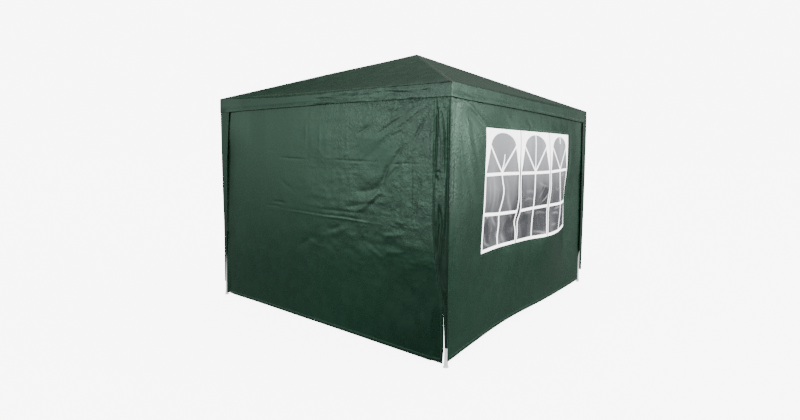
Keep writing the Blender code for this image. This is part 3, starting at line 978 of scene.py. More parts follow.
def roof_cover(sizes):
    """The cover's roof: it sags between the hips and turns down over the beams at the eave."""
    cover = pyramid("roof_cover")
    points = get_points(cover)
    x, y = points[:, 0].copy(), points[:, 1].copy()
    share = np.maximum(np.abs(x), np.abs(y)) / HALF
    closer = (1 - (1 - np.clip(share, 0, 1)) ** EAVE_GATHER) / np.maximum(share, NEARLY_ZERO)
    x, y = x * closer, y * closer
    reach = np.maximum(np.abs(x), np.abs(y))
    beside = np.abs(x) > np.abs(y)
    across = np.where(beside, y * np.sign(x), -x * np.sign(y))
    side = np.where(beside, np.where(x > 0, 1, 3), np.where(y < 0, 0, 2))
    spread = across / np.maximum(reach, NEARLY_ZERO)
    middle = 1 - np.clip(np.abs(spread), 0, 1) ** 2
    share = np.clip(reach / (HALF - SAG_END), 0, 1)
    # share**2 * (1 - share) is 4 / 27 at its highest
    sag = sizes.roof_sag * middle * 27 / 4 * share**2 * (1 - share)
    wrinkle = 0.0008 * creases(x * 2.1 + side * 9, y * 2.1 - side * 5, 101, 2) * middle
    outward = 1 + corner_bulge(side, spread * HALF) / HALF * share**3
    points[:, 0], points[:, 1] = x * outward, y * outward
    points[:, 2] = EAVE + (HALF - reach) * SLOPE - sag + wrinkle * (1 - share**6)
    points[:, 2] -= eave_drop(side, across) * np.clip((reach - HALF) / EAVE_TURN + 1, 0, 1)
    points[:, 2] += hip_rise(x, y)
    set_points(cover, points)
    hip = reach - np.abs(across)
    note(cover, "hem", np.minimum(hip, (HALF - reach) * SLANT))
    # A painted highlight along the hips, and a faint paler painted sheen at the eave
    hip_seam_highlight = 0.75 * smooth(0.012, 0.0, hip) * smooth(0.02, 0.06, reach)
    note(cover, "crush", np.maximum(hip_seam_highlight, 0.06 * smooth(0.2, 0.0, HALF - reach)))
    thicken(cover, sizes.cloth)
    shade_smooth(cover, angle=22)
    return cover


def hip_rise(x, y):
    """How far the cover stands higher along the hip to the front left corner."""
    return 0.010 * smooth(0.1, 0.5, (-x - y) / (2 * HALF)) * hill(np.abs(x - y), 0, 0.9)


def corner_bulge(side, across):
    """How far the cover's corners stand out past the square, at a place along a side."""
    bulges = np.array(CORNER_BULGE)
    number = side.astype(int)
    after, before = bulges[number], bulges[(number + 3) % 4]
    return np.where(across > 0, after, before) * smooth(HALF - 0.40, HALF, np.abs(across))


def eave_drop(side, across):
    """How far the cover's edge is pulled down below the line of the eave."""
    drop = 0.004 + 0.020 * hill(across, -0.45, 0.75)
    other = 0.004 + 0.012 * hill(across, 0.2, 0.8)
    held = 1 - smooth(HALF - 0.30, HALF - 0.02, np.abs(across))
    return np.where(side == 0, drop, other) * held


class TENT_OT_roof(Operator):
    """Stretch the cover over the rafters"""

    bl_idname = "tent.roof"
    bl_label = "Roof"

    def execute(self, context):
        sizes, colours = context.scene.tent_sizes, context.scene.tent_colours
        cover = roof_cover(sizes)
        dress(
            cover,
            sheet_finish("roof_sheet", colours, worn=0.12, tint=(0.62, 0.94, 0.62), woven=0.12),
            "green_fabric",
            *["roof_panel_" + side for side in SIDES],
        )
        return {"FINISHED"}


# Folds of the valance's front, as the walls' are given
VALANCE_FOLDS = (
    (0.012, -0.0040, 0.4, (
        (0.78, 2.103), (0.90, 2.092), (1.00, 2.079), (1.10, 2.066), (1.22, 2.056),
    )),
    (0.011, -0.0030, 0.4, ((0.46, 2.106), (0.60, 2.100), (0.74, 2.090), (0.84, 2.086))),
    (0.011, -0.0024, 0.3, ((0.32, 2.106), (0.44, 2.104), (0.56, 2.108))),
    (0.012, -0.0034, 0.3, ((0.66, 2.040), (0.78, 2.042), (0.90, 2.034), (1.00, 2.030))),
    (0.012, -0.0046, 0.3, ((-0.06, 2.036), (0.10, 2.036), (0.28, 2.034), (0.44, 2.030))),
    (0.012, -0.0022, 0.2, ((0.02, 2.072), (0.16, 2.064), (0.28, 2.052))),
    (0.012, 0.0030, 0.2, ((0.93, 2.066), (1.05, 2.052), (1.17, 2.042))),
    (0.014, 0.0026, 0.2, ((0.22, 2.078), (0.36, 2.080), (0.50, 2.070), (0.62, 2.066))),
    (0.010, -0.0009, 0.2, ((1.12, 2.120), (1.20, 2.100), (1.28, 2.080))),
    (0.010, -0.0007, 0.2, ((1.22, 2.125), (1.32, 2.105), (1.40, 2.090))),
)

# How much higher than the solid valance its hem hangs at places along a side
VALANCE_LIFTS = {
    "front": (
        (-1.5, -1.0, -0.4, -0.1, 0.2, 0.8, 1.2, 1.5),
        (0.0, 0.012, 0.020, 0.024, 0.030, 0.030, 0.033, 0.031),
    ),
    "right": (
        (-1.5, -1.3, -0.6, 0.0, 0.6, 1.2, 1.5),
        (0.031, 0.026, 0.024, 0.021, 0.014, 0.0, 0.0),
    ),
}

# How much stronger the valance's folds are than their table says
VALANCE_FOLD_SCALE = 1.7
# Within this of a corner the valance doesn't hang free
CORNER_HOLD = 0.13
# The strip hangs this far inside the roof's edge, and its two ends are sewn where they lie this
# close
VALANCE_INSET = 0.0012
END_SEAM = 0.001


def valance_lift(side, across, free):
    """How much higher than the solid valance's hem the strip's hem hangs."""
    lift = 0.006 * hill(across, 0.1, 0.9) * free
    for name, lifts in VALANCE_LIFTS.items():
        lift = np.where(side == SIDES.index(name), np.interp(across, *lifts), lift)
    return lift


def valance_out(run, side, across, height, down, free, near):
    """How far the valance stands out, from 0 at its top to a flared hem."""
    hang = down * free
    out = 0.0030 * ripple(run * 3.1, down * 0.5, 5) * hang
    out += 0.0044 * creases(run * 2.9, down * 1.9 + run * 0.35, 9) * near * (0.25 + 0.75 * hang)
    out += 0.0024 * creases(run * 7.0, down * 4.0, 15) * near * free
    out += 0.0020 * creases(run * 9.0, down * 6.0, 19, 1) * near * free
    out += 0.0070 * smooth(0.45, 1.0, down) * free
    out += np.where(side == 0, folds_of(VALANCE_FOLDS, across, height) * VALANCE_FOLD_SCALE, 0)
    # A groove below the seam, where the beam ends
    grooved = np.where(side == 0, smooth(-0.3, 0.6, across), 0.25)
    return out - 0.0045 * grooved * hill(EAVE - height, 0.014, 0.010)


def valance_strip(sizes):
    """One long strip, folded round the four sides from the front left corner."""
    whole = (0, 8 * HALF)
    strip = upright_grid("valance", whole, (VALANCE_LOW.z, EAVE), HALF, sizes.valance_step)
    points = get_points(strip)
    run = points[:, 0].copy()
    side = np.clip(np.floor(run / (2 * HALF)), 0, 3)
    across = run - side * 2 * HALF - HALF
    down = np.clip((EAVE - points[:, 2]) / (VALANCE_HIGH.z - VALANCE_LOW.z), 0, 1)
    free = smooth(0.0, CORNER_HOLD, HALF - np.abs(across))
    # How creased it is, most toward the near corner
    near = np.where(side == 0, smooth(-0.55, 0.9, across), 0.30)
    near = np.where(side == 1, smooth(0.4, -1.0, across) * 0.25 + 0.12, near)
    low = VALANCE_LOW.z + valance_lift(side, across, free)
    height = low + (EAVE - eave_drop(side, across) - low) * (1 - down)
    out = valance_out(run, side, across, height, down, free, near)
    at_near = ((side == 0) & (across > 0)) | ((side == 1) & (across < 0))
    flare = 0.006 * smooth(0.45, 1.0, down) * smooth(CORNER_HOLD, 0.0, HALF - np.abs(across))
    bulge = corner_bulge(side, across) + np.where(at_near, flare, 0)
    across = across + bulge * np.sign(across)
    outward = -(HALF - VALANCE_INSET + out + bulge)
    angle = side * math.pi / 2
    points[:, 0] = across * np.cos(angle) - outward * np.sin(angle)
    points[:, 1] = across * np.sin(angle) + outward * np.cos(angle)
    points[:, 2] = height + hip_rise(points[:, 0], points[:, 1]) * (1 - down)
    set_points(strip, points)
    note(strip, "hem", height - low)
    # Paler toward the near corner, partly creases and partly painted sheen; below 0, painted shade
    # where the front hangs free on the left
    handled = near * 0.62 - 0.12 * free + 0.30 * smooth(0.8, 1.3, across) * (side == 0)
    note(strip, "crush", np.where(side == 1, 0.04, handled))
    edit_all(strip, bpy.ops.mesh.remove_doubles, threshold=END_SEAM)
    thicken(strip, sizes.cloth)
    shade_smooth(strip, angle=50)
    return strip


class TENT_OT_valance(Operator):
    """Hang the valance from the eave, round all four sides"""

    bl_idname = "tent.valance"
    bl_label = "Valance"

    def execute(self, context):
        sizes, colours = context.scene.tent_sizes, context.scene.tent_colours
        strip = valance_strip(sizes)
        dress(
            strip,
            sheet_finish("valance_sheet", colours, worn=0.06, tint=(0.50, 0.91, 0.68)),
            "green_fabric",
            *["valance_" + side for side in SIDES],
        )
        return {"FINISHED"}


# A tail's rows lie further apart than its columns
TAIL_LINES = (EVEN, ((0, 2.1),))

# A tail's width at its heights, from its hem up to the valance, on the face before its corner
# and on the face after it
TAIL_HEIGHTS = (0.15, 0.30, 0.45, 0.60, 0.80, 1.05, 1.50, 2.05)
TAIL_WIDTHS = {
    "front_right": (
        (0.0198, 0.0308, 0.0385, 0.088, 0.128, 0.157, 0.160, 0.150),
        (0.0225, 0.0240, 0.034, 0.060, 0.088, 0.104, 0.112, 0.150),
    ),
    "back_right": (
        (0.026, 0.052, 0.092, 0.094, 0.096, 0.100, 0.122, 0.134),
        (0.026, 0.034, 0.042, 0.052, 0.066, 0.080, 0.110, 0.150),
    ),
    "back_left": (
        (0.026, 0.034, 0.044, 0.056, 0.070, 0.082, 0.094, 0.120),
        (0.026, 0.034, 0.044, 0.056, 0.070, 0.082, 0.094, 0.120),
    ),
    "front_left": (
        (0.026, 0.032, 0.040, 0.050, 0.066, 0.080, 0.110, 0.150),
        (0.022, 0.030, 0.043, 0.052, 0.062, 0.080, 0.106, 0.168),
    ),
}
# How far from the tent's middle a tail's corner hangs, at heights
TAIL_OUTER_HEIGHTS = (0.15, 0.80, 1.40, 2.05)
TAIL_OUTER = {
    "front_right": (1.4830, 1.4905, 1.4940, 1.4975),
    "back_right": (1.4985, 1.5040, 1.5080, 1.5075),
    "back_left": (1.4860, 1.4950, 1.5010, 1.5050),
    "front_left": (1.4790, 1.4870, 1.4990, 1.5065),
}

# Where the near tail's corner hangs as the front wall's edge goes in behind it
NEAR_TAIL_CORNER = 1.488

# Upright pleats of a tail: distance from its corner, width, depth, where each is deepest, and how
# far it reaches up and down. The near tail has its own on its right face.
FAR_PLEATS = (
    (0.009, 0.011, 0.0060, 1.00, 0.70),
    (0.047, 0.008, 0.0030, 1.72, 0.20),
    (0.098, 0.014, 0.0050, 0.80, 0.30),
)
NEAR_PLEATS = (
    (0.030, 0.012, 0.0014, 1.50, 0.50),
    (0.066, 0.014, 0.0018, 1.80, 0.40),
    (0.094, 0.008, 0.0040, 1.40, 0.16),
)

# Folds of the near tail's front face, as the walls' are given
NEAR_TAIL_FOLDS = (
    (0.010, -0.0090, 0.0, (
        (1.333, 1.66), (1.336, 1.50), (1.337, 1.30), (1.338, 1.05), (1.346, 0.85),
    )),
    (0.006, -0.0044, 0.0, ((1.345, 2.01), (1.349, 1.92), (1.345, 1.76), (1.336, 1.62))),
    (0.009, -0.0100, 0.0, (
        (1.352, 2.01), (1.372, 1.90), (1.367, 1.75), (1.361, 1.60), (1.352, 1.45), (1.350, 1.36),
    )),
    (0.007, -0.0075, 0.0, (
        (1.372, 2.01), (1.397, 1.95), (1.427, 1.85), (1.441, 1.72), (1.446, 1.58), (1.448, 1.42),
    )),
    (0.007, 0.0050, 0.0, (
        (1.362, 2.02), (1.385, 1.97), (1.413, 1.91), (1.433, 1.84), (1.444, 1.76),
    )),
    (0.008, 0.0050, 0.0, ((1.395, 1.84), (1.413, 1.72), (1.418, 1.58), (1.414, 1.44))),
    (0.006, 0.0036, 0.0, ((1.40, 2.02), (1.43, 1.98), (1.46, 1.92))),
    (0.008, -0.0060, 0.0, ((1.342, 1.448), (1.362, 1.462), (1.385, 1.468), (1.408, 1.464))),
    (0.018, -0.0060, 0.0, ((1.362, 1.445), (1.368, 1.42), (1.372, 1.385))),
    (0.010, -0.0085, 0.0, (
        (1.474, 2.01), (1.472, 1.85), (1.470, 1.50), (1.466, 1.20), (1.460, 0.85), (1.455, 0.60),
    )),
    (0.012, -0.0080, 0.0, (
        (1.385, 1.24), (1.405, 1.15), (1.417, 1.08), (1.404, 1.00), (1.396, 0.86),
    )),
    (0.010, 0.0050, 0.0, ((1.375, 1.30), (1.380, 1.20), (1.372, 1.08))),
    (0.010, 0.0046, 0.0, ((1.436, 1.34), (1.446, 1.20), (1.440, 1.02))),
    (0.012, -0.0060, 0.0, ((1.37, 0.95), (1.39, 0.80), (1.41, 0.65))),
    (0.012, -0.0060, 0.0, ((1.43, 0.98), (1.435, 0.80), (1.44, 0.62))),
)

# A tail of this width has its pleats where they are given, and a narrower one closer together
PLEATED_WIDTH = 0.155
# The pleats gather toward this distance from the corner as the tail goes up behind the valance
GATHERED = 0.092


def pleats(run, height, width, shapes, seed):
    """How far in the pleats of a tail go, at a distance from its corner."""
    inward = np.zeros(run.shape)
    gather = smooth(1.78, 2.05, height)
    for number, (at, spread, depth, centre, extent) in enumerate(shapes):
        place = at * np.minimum(width / PLEATED_WIDTH, 1) + (GATHERED - at) * 0.55 * gather
        place = place + 0.006 * ripple(height * 2.6, height * 0 + number, seed)
        share = 0.80 + 0.50 * ripple(height * 5.3, height * 0 + number, seed + 3)
        share *= np.exp(-np.abs((height - centre) / extent) ** 3)
        inward += depth * share * np.exp(-np.abs((run - place) / spread) ** 1.6)
    return inward * smooth(0.25, 0.60, height)


def near_tail(first, run, width, height, outer, crumpled, seed):
    """How far in the near tail goes and how creased and paler with painted sheen it is up high,
    with painted shade in its hollows and low down.

    Its first face has the folds and, lower down, upright streaks. Its other face has pleats, and
    turns in at the bottom and out at the top.
    """
    folds = -folds_of(NEAR_TAIL_FOLDS, outer - run, height) * smooth(0.0, 0.008, run)
    inward = np.where(first, folds, pleats(run, height, width, NEAR_PLEATS, seed + 5))
    lower = smooth(1.45, 0.95, height)
    inward += np.where(first, 0.0013 - 0.0009 * lower, 0.0005) * crumpled
    streaks = np.abs(ripple(run * 75, height * 1.7, seed + 7))
    inward += np.where(first, 0.0055 * streaks * lower * smooth(0.40, 0.55, height), 0)
    turned = 0.30 * smooth(0.60, 0.40, height)
    flare = 0.065 * smooth(1.30, 1.80, height) * smooth(2.06, 1.99, height)
    inward += np.where(first, 0, (turned - flare) * run)
    # Painted shade: in the first face's hollows and low down, and low on the other face
    hollow = smooth(0.001, 0.007, inward) * 1.6 + 0.75 * smooth(1.15, 0.85, height)
    crush = 0.85 * smooth(0.95, 1.35, height)
    crush = np.where(first, crush - hollow, crush * 0.8 - 0.6 * smooth(0.60, 0.40, height))
    return inward, np.maximum(crush, -0.9)


def far_tail(run, width, height, crumpled, seed):
    """How far in a plainer tail goes, with painted shade over it that is darkest low down."""
    inward = pleats(run, height, width, FAR_PLEATS, seed) * 0.25 + 0.0003 * crumpled
    # Painted shade all over, darker low down
    return inward, -0.35 + 0.15 * smooth(0.5, 1.5, height)


# The near tail's top goes this far in behind the valance
TOP_TUCK = 0.008
# A tail keeps this far off its leg, and hangs this far inside its outer line
LEG_ROOM = 0.004
TAIL_INSET = 0.0005
# Where a tail's hem begins, past its edge
TAIL_HEM = 0.012


def cover_tail(corner, turn, sizes):
    """An angle of cloth down a leg, bent round its corner."""
    before, after = TAIL_WIDTHS[corner]
    widest = max(before + after)
    ends = (TAIL_LOW.z, TAIL_HIGH.z)
    name = "cover_tail_" + corner
    tail = upright_grid(name, (-widest, widest), ends, 0, sizes.tail_step, TAIL_LINES)
    points = get_points(tail)
    share, height = points[:, 0] / widest, points[:, 2].copy()
    first = share < 0
    widths = [np.interp(height, TAIL_HEIGHTS, face) for face in (before, after)]
    width = np.where(first, *widths)
    run = np.abs(share) * width
    outer = np.interp(height, TAIL_OUTER_HEIGHTS, TAIL_OUTER[corner])
    seed = 200 + 10 * turn
    crumpled = 1 + creases(run * 55 + seed, height * 40, seed + 4)
    crumpled *= smooth(0.4, 0.9, height) * smooth(0.0, 0.02, run)
    if corner == "front_right":
        outer -= TOP_TUCK * smooth(1.96, 2.02, height)
        inward, crush = near_tail(first, run, width, height, outer, crumpled, seed)
    else:
        inward, crush = far_tail(run, width, height, crumpled, seed)
    inward = np.minimum(inward, outer - LEG_FACE - LEG_ROOM)
    flat = outer - inward - TAIL_INSET
    points[:, 0] = np.where(share > 0, flat, outer - run)
    points[:, 1] = np.where(share > 0, run - outer, -flat)
    set_points(tail, points)
    note(tail, "hem", width - run + TAIL_HEM)
    note(tail, "crush", crush)
    turn_to(tail, turn)
    thicken(tail, sizes.cloth)
    shade_smooth(tail, angle=75)
    return tail


class TENT_OT_tails(Operator):
    """Hang a tail of the cover down each leg"""

    bl_idname = "tent.tails"
    bl_label = "Corner tails"

    def execute(self, context):
        sizes, colours = context.scene.tent_sizes, context.scene.tent_colours
        finish = sheet_finish("tail_sheet", colours, worn=0.05)
        for turn, corner in enumerate(CORNERS):
            tail = cover_tail(corner, turn, sizes)
            dress(tail, finish, "green_fabric", "corner_tail_" + corner)
        return {"FINISHED"}


# The walls' lines lie closer together where the cloth is creased: spacing across and up, as
# (place, times the wall step)
WALL_LINES = {
    "front": (
        ((-1.5, 1.55), (-0.5, 1.35), (0.2, 0.95), (1.5, 0.85)),
        (
            (0.0, 1.60), (0.6, 1.10), (0.98, 0.85), (1.02, 0.45), (1.07, 0.85), (1.49, 0.90),
            (1.53, 0.50), (1.57, 0.92), (2.1, 0.92),
        ),
    ),
    "right": (((-1.5, 0.80), (-0.9, 1.0), (1.5, 1.15)), ((0.0, 1.5), (0.7, 0.95), (2.1, 0.85))),
}
FAR_LINES = (((0, 1.1),), ((0, 1.1),))

# How much further a wall's edge reaches behind its tail than the solid wall does: most walls, and
# on the right wall its edge beside the near leg, which draws back, and its far one
EDGE_REACH = 0.065
NEAR_EDGE_DRAW = 0.022
FAR_EDGE_REACH = 0.078
# The front wall's left edge reaches this far at its hem
LEFT_HEM_REACH = 0.030
# An edge is moved with this much of the wall beside it
EDGE_SPREAD = 0.30

# How far the front wall's edge reaches past the solid wall beside the near leg, at heights. It
# follows the tail's edge there, so that the slit between the two comes to a point.
NEAR_LEG_REACH = (
    (0.05, 0.10, 0.15, 0.20, 0.25, 0.30, 0.35, 0.40, 0.43, 0.46, 0.50),
    (-0.002, 0.002, 0.0070, 0.0061, 0.0048, 0.0030, 0.0012, -0.0006, -0.0016, -0.0022, 0.009),
)


def reach_of(side, x, z, low, high):
    """How far a wall's points move along it, so that its edges pass behind the tails."""
    before = smooth(low.x + EDGE_SPREAD, low.x, x)
    after = smooth(high.x - EDGE_SPREAD, high.x, x)
    if side == "front":
        passed = LEFT_HEM_REACH + (EDGE_REACH - LEFT_HEM_REACH) * smooth(0.60, 0.90, z)
        return after * np.interp(z, *NEAR_LEG_REACH) - before * passed
    if side == "right":
        near = -NEAR_EDGE_DRAW * before * smooth(0.95, 0.40, z)
        return near + FAR_EDGE_REACH * after * smooth(0.30, 0.46, z)
    return EDGE_REACH * after * smooth(0.40, 0.60, z)


def lift_of(side, x, z):
    """How far a wall's points are drawn up along it."""
    if side == "front":
        return -0.015 * smooth(0.30, 0.03, z)
    return right_lift(x, z) if side == "right" else 0 * x


# A wall may stand out this far where nothing is in its way, and at least this far
FREE_ROOM = 0.2
LEAST_ROOM = 0.0012
# These parts of a wall's ends lie behind a tail, in front of a leg, and just past the leg
TAIL_ZONE = 0.16
LEG_ZONE = 0.066
PAST_LEG_ZONE = 0.10
# A wall hardly goes in at a beam or a lower leg, a little at an upper leg, and more past the leg
TOUCHING = -0.0008
UPPER_LEG_ROOM = -0.0095
PAST_LEG_ROOM = -0.030


def settled(out, x, z):
    """Keeps a wall off the legs behind it, and behind the tails and valance that hang before it."""
    edge = HALF - np.abs(x)
    room_out = np.where(edge < TAIL_ZONE, 0.0123 * smooth(0.2, 1.6, z) + LEAST_ROOM, FREE_ROOM)
    room_out = np.minimum(room_out, 0.002 + FREE_ROOM * smooth(2.010, 1.82, z))
    at_leg = np.where(z > 0.7, UPPER_LEG_ROOM, TOUCHING)
    past_leg = np.where(edge < PAST_LEG_ZONE, PAST_LEG_ROOM, -FREE_ROOM)
    room_in = np.where(edge < LEG_ZONE, at_leg, past_leg)
    room_in = np.maximum(room_in, np.where(z > EAVE - 0.06, TOUCHING, -FREE_ROOM))
    return np.clip(out, room_in, room_out)


# The cloth round a window's hole is sewn this far in from its edge
HOLE_HEM = 0.004


def cut_window(wall, low, high):
    """Cuts the window's hole out of a wall's grid."""
    for edge in (low, high):
        bisect_all(wall, (edge.x, 0, 0), (1, 0, 0))
        bisect_all(wall, (0, 0, edge.z), (0, 0, 1))
    delete_faces(wall, lambda at: low.x < at.x < high.x and low.z < at.z < high.z)


def from_edges(x, z, low, high, hole):
    """How far a wall's points are from its nearest edge, or from its window's."""
    edges = np.minimum(np.minimum(x - low.x, high.x - x), np.minimum(z - low.z, high.z - z))
    if not hole:
        return edges
    hole_low, hole_high = hole
    dx = np.maximum(np.maximum(hole_low.x - x, x - hole_high.x), 0)
    dz = np.maximum(np.maximum(hole_low.z - z, z - hole_high.z), 0)
    return np.minimum(edges, np.hypot(dx, dz) + HOLE_HEM)


def hung_wall(side, turn, low, high, hole, sizes):
    """A creased wall between low and high, with its window's hole cut out."""
    across, up = (low.x, high.x), (low.z, high.z)
    depth, lines = -low.y, WALL_LINES.get(side, FAR_LINES)
    wall = upright_grid("hung_wall_" + side, across, up, depth, sizes.wall_step, lines)
    if hole:
        cut_window(wall, *hole)
    points = get_points(wall)
    x, z = points[:, 0].copy(), points[:, 2].copy()
    out, crush = DRAPES[side](x, z, low, high)
    points[:, 0] += reach_of(side, x, z, low, high)
    points[:, 1] = -(depth + settled(out, points[:, 0], z))
    points[:, 2] += lift_of(side, x, z)
    set_points(wall, points)
    note(wall, "hem", from_edges(x, z, low, high, hole))
    note(wall, "crush", crush)
    turn_to(wall, turn)
    thicken(wall, sizes.cloth)
    shade_smooth(wall)
    return wall


class TENT_OT_walls(Operator):
    """Hang a creased wall on each side, with a hole for the window in two of them"""

    bl_idname = "tent.walls"
    bl_label = "Walls"

    def execute(self, context):
        sizes, colours = context.scene.tent_sizes, context.scene.tent_colours
        finish = sheet_finish("wall_sheet", colours)
        for turn, side in enumerate(SIDES):
            low, high = side_box("wall_" + side, turn)
            hole = side_box("window_grid_" + side, turn) if side in WINDOW_SIDES else None
            wall = hung_wall(side, turn, low, high, hole, sizes)
            dress(wall, finish, "green_fabric", "wall_" + side)
            width, height, area = high.x - low.x + EDGE_REACH, high.z - low.z, None
            if hole:
                area = width * height - (hole[1].x - hole[0].x) * (hole[1].z - hole[0].z)
        return {"FINISHED"}


# The window's three lights: the widths of their frame and bars, the heights of what crosses them,
# and their arched heads
LIGHTS = 3
JAMB = 0.020
SILL = 0.027
BAR = 0.026
LOWER_BAR_HEIGHT = 1.072
UPPER_BAR_HEIGHT = 1.43
MUNTIN = 0.016
HEAD_MUNTIN = 0.0112
ARCH_HALF = 0.225
ARCH_SPRING = 1.67
ARCH_RISE = 0.118
ARCH_STEPS = 24
SEAM = 0.014
# The bars are cut this fine
BAR_STEP = 0.025


def clipped(outline, normal, offset):
    """The part of a convex outline where point . normal >= offset."""
    kept = []
    for start, end in zip(outline, outline[1:] + outline[:1]):
        before = start[0] * normal[0] + start[1] * normal[1] - offset
        after = end[0] * normal[0] + end[1] * normal[1] - offset
        if before >= 0:
            kept.append(start)
        if before * after < 0:
            share = before / (before - after)
            kept.append(tuple(a + share * (b - a) for a, b in zip(start, end)))
    return kept


# What shows of the middle bar in the heads of the first and the last light
SPURS = {
    0: [
        (-0.007, 1.466), (0.007, 1.466), (0.030, 1.503), (0.039, 1.545), (0.042, 1.600),
        (0.034, 1.602), (0.026, 1.545), (0.014, 1.508),
    ],
    2: [(-0.005, 1.715), (0.005, 1.715), (0.010, 1.780), (-0.010, 1.780)],
}


def light_panes(light_width, bottom, light):
    """The clear panes of one light, about its own centre line."""
    half = light_width / 2 - JAMB
    foot = UPPER_BAR_HEIGHT + BAR / 2
    ray = Vector((ARCH_HALF, ARCH_SPRING - foot)).normalized()
    turns = [math.pi * i / ARCH_STEPS for i in range(ARCH_STEPS + 1)]
    head = [(ARCH_HALF * math.cos(t), ARCH_SPRING + ARCH_RISE * math.sin(t)) for t in turns]
    head.append((0, foot))
    panes = []
    for side in (-1, 1):
        level = foot * ray.x
        head = clipped(head, (-side * ray.y, ray.x), level + MUNTIN / 2)
        corner = [(side * ARCH_HALF, ARCH_SPRING), (side * half, foot), (0, foot)]
        panes.append(clipped(corner, (side * ray.y, -ray.x), MUNTIN / 2 - level))
        for low, high in (
            (bottom + SILL, LOWER_BAR_HEIGHT - BAR / 2),
            (LOWER_BAR_HEIGHT + BAR / 2, UPPER_BAR_HEIGHT - BAR / 2),
        ):
            near, far = side * MUNTIN / 2, side * half
            panes.append([(near, low), (far, low), (far, high), (near, high)])
    if light == 1:
        return panes + [clipped(head, (side, 0), HEAD_MUNTIN / 2) for side in (-1, 1)]
    return panes + [head, SPURS[light]]


def parted(x, z, low, high):
    """How far the bars beside a seam stand apart from it, where the film hangs loose."""
    light_width = (high.x - low.x) / LIGHTS
    first, second = x - low.x - light_width, x - low.x - 2 * light_width
    apart = 0.015 * hill(z, 1.05, 0.12) + 0.004 * smooth(1.75, 1.45, z) * smooth(0.80, 0.98, z)
    out = np.sign(first) * apart * smooth(0.075, 0.030, np.abs(first))
    return out + np.sign(second) * 0.005 * hill(z, 1.15, 0.35) * smooth(0.06, 0.03, np.abs(second))


def window_outlines(low, high):
    """The outlines of the three lights and of the clear panes in them."""
    light_width = (high.x - low.x) / LIGHTS
    outlines = []
    for light in range(LIGHTS):
        left = low.x + light * light_width + (SEAM / 2 if light else 0)
        right = low.x + (light + 1) * light_width - (SEAM / 2 if light < LIGHTS - 1 else 0)
        outlines.append([(left, low.z), (right, low.z), (right, high.z), (left, high.z)])
        centre = low.x + (light + 0.5) * light_width
        for pane in light_panes(light_width, low.z, light):
            outlines.append([(x + centre, z) for x, z in pane])
    return outlines


def flat_cut(name, outlines):
    """A flat mesh inside the outlines, with those that lie in another cut out of it."""
    curve = bpy.data.curves.new(name, "CURVE")
    curve.dimensions = "2D"
    curve.fill_mode = "BOTH"
    for outline in outlines:
        spline = curve.splines.new("POLY")
        spline.points.add(len(outline) - 1)
        for point, (x, z) in zip(spline.points, outline):
            point.co = (x, z, 0, 1)
        spline.use_cyclic_u = True
    cut = bpy.data.objects.new(name, curve)
    bpy.context.scene.collection.objects.link(cut)
    only(cut)
    bpy.ops.object.convert(target="MESH")
    return bpy.context.object


def lattice(name, low, high, depth):
    """The flat white frame and bars, cut fine enough to follow the film."""
    bars = flat_cut(name, window_outlines(low, high))
    bars.location = (0, -depth, 0)
    bars.rotation_euler = (math.pi / 2, 0, 0)
    apply_place(bars)
    for x in np.arange(low.x + BAR_STEP, high.x, BAR_STEP):
        bisect_all(bars, (x, 0, 0), (1, 0, 0))
    for z in np.arange(low.z + BAR_STEP, high.z, BAR_STEP):
        bisect_all(bars, (0, 0, z), (0, 0, 1))
    return bars


# How far inside the wall's face the film and its bars hang
FILM_INSET = 0.0016
BARS_INSET = 0.0004
# How loosely the film hangs in each wall, past what the wall itself does
LOOSENESS = {"right": 0.3, "left": 1.0}


def window_out(side, x, z, wall, grid):
    """How far the film and its bars stand out at each point, with the wall and by themselves."""
    out, _ = DRAPES[side](x, z, *wall)
    return settled(out, x, z) + film_folds(x, z, *grid, LOOSENESS[side])


def window_sheet(side, turn, wall, grid, low, high, sizes):
    """The clear film, with its crumpling and its shiny creases noted for its finish."""
    depth = -wall[0].y
    name, across, up = "window_sheet_" + side, (low.x, high.x), (low.z, high.z)
    sheet = upright_grid(name, across, up, depth, sizes.film_step)
    points = get_points(sheet)
    x, z = points[:, 0].copy(), points[:, 2].copy()
    points[:, 1] = -(depth - FILM_INSET + window_out(side, x, z, wall, grid))
    points[:, 2] += lift_of(side, x, z)
    set_points(sheet, points)
    # Creases, most below, which also carry the film's painted glints
    note(sheet, "crush", 0.10 + 0.9 * smooth(1.5, 1.0, z))
    # Painted glints and painted shade along the listed lines
    streaks = [fold(x, z, path, width, bright) for width, bright, path in FILM_SHINE]
    note(sheet, "shine", sum(streaks))
    turn_to(sheet, turn)
    thicken(sheet, sizes.film)
    shade_smooth(sheet)
    return sheet


def window_bars(side, turn, wall, grid, sizes):
    """The white frame and bars of three arched lights, which hang with the film."""
    depth = -wall[0].y
    bars = lattice("window_bars_" + side, *grid, depth)
    points = get_points(bars)
    x, z = points[:, 0].copy(), points[:, 2].copy()
    x += parted(x, z, *grid)
    points[:, 0] = x
    points[:, 1] = -(depth - BARS_INSET + window_out(side, x, z, wall, grid))
    points[:, 2] += lift_of(side, x, z)
    set_points(bars, points)
    turn_to(bars, turn)
    thicken(bars, sizes.bars)
    shade_smooth(bars, angle=40)
    return bars


class TENT_OT_windows(Operator):
    """Fit the film and its white bars in the two window walls"""

    bl_idname = "tent.windows"
    bl_label = "Windows"

    def execute(self, context):
        sizes, colours = context.scene.tent_sizes, context.scene.tent_colours
        film, trim = film_finish(colours), trim_finish(colours)
        for side in WINDOW_SIDES:
            turn = SIDES.index(side)
            wall, grid = side_box("wall_" + side, turn), side_box("window_grid_" + side, turn)
            low, high = side_box("window_film_" + side, turn)
            sheet = window_sheet(side, turn, wall, grid, low, high, sizes)
            dress(sheet, film, "clear_film", "window_film_" + side)
            bars = window_bars(side, turn, wall, grid, sizes)
            dress(bars, trim, "white_print", "window_grid_" + side)
        return {"FINISHED"}


# The stage

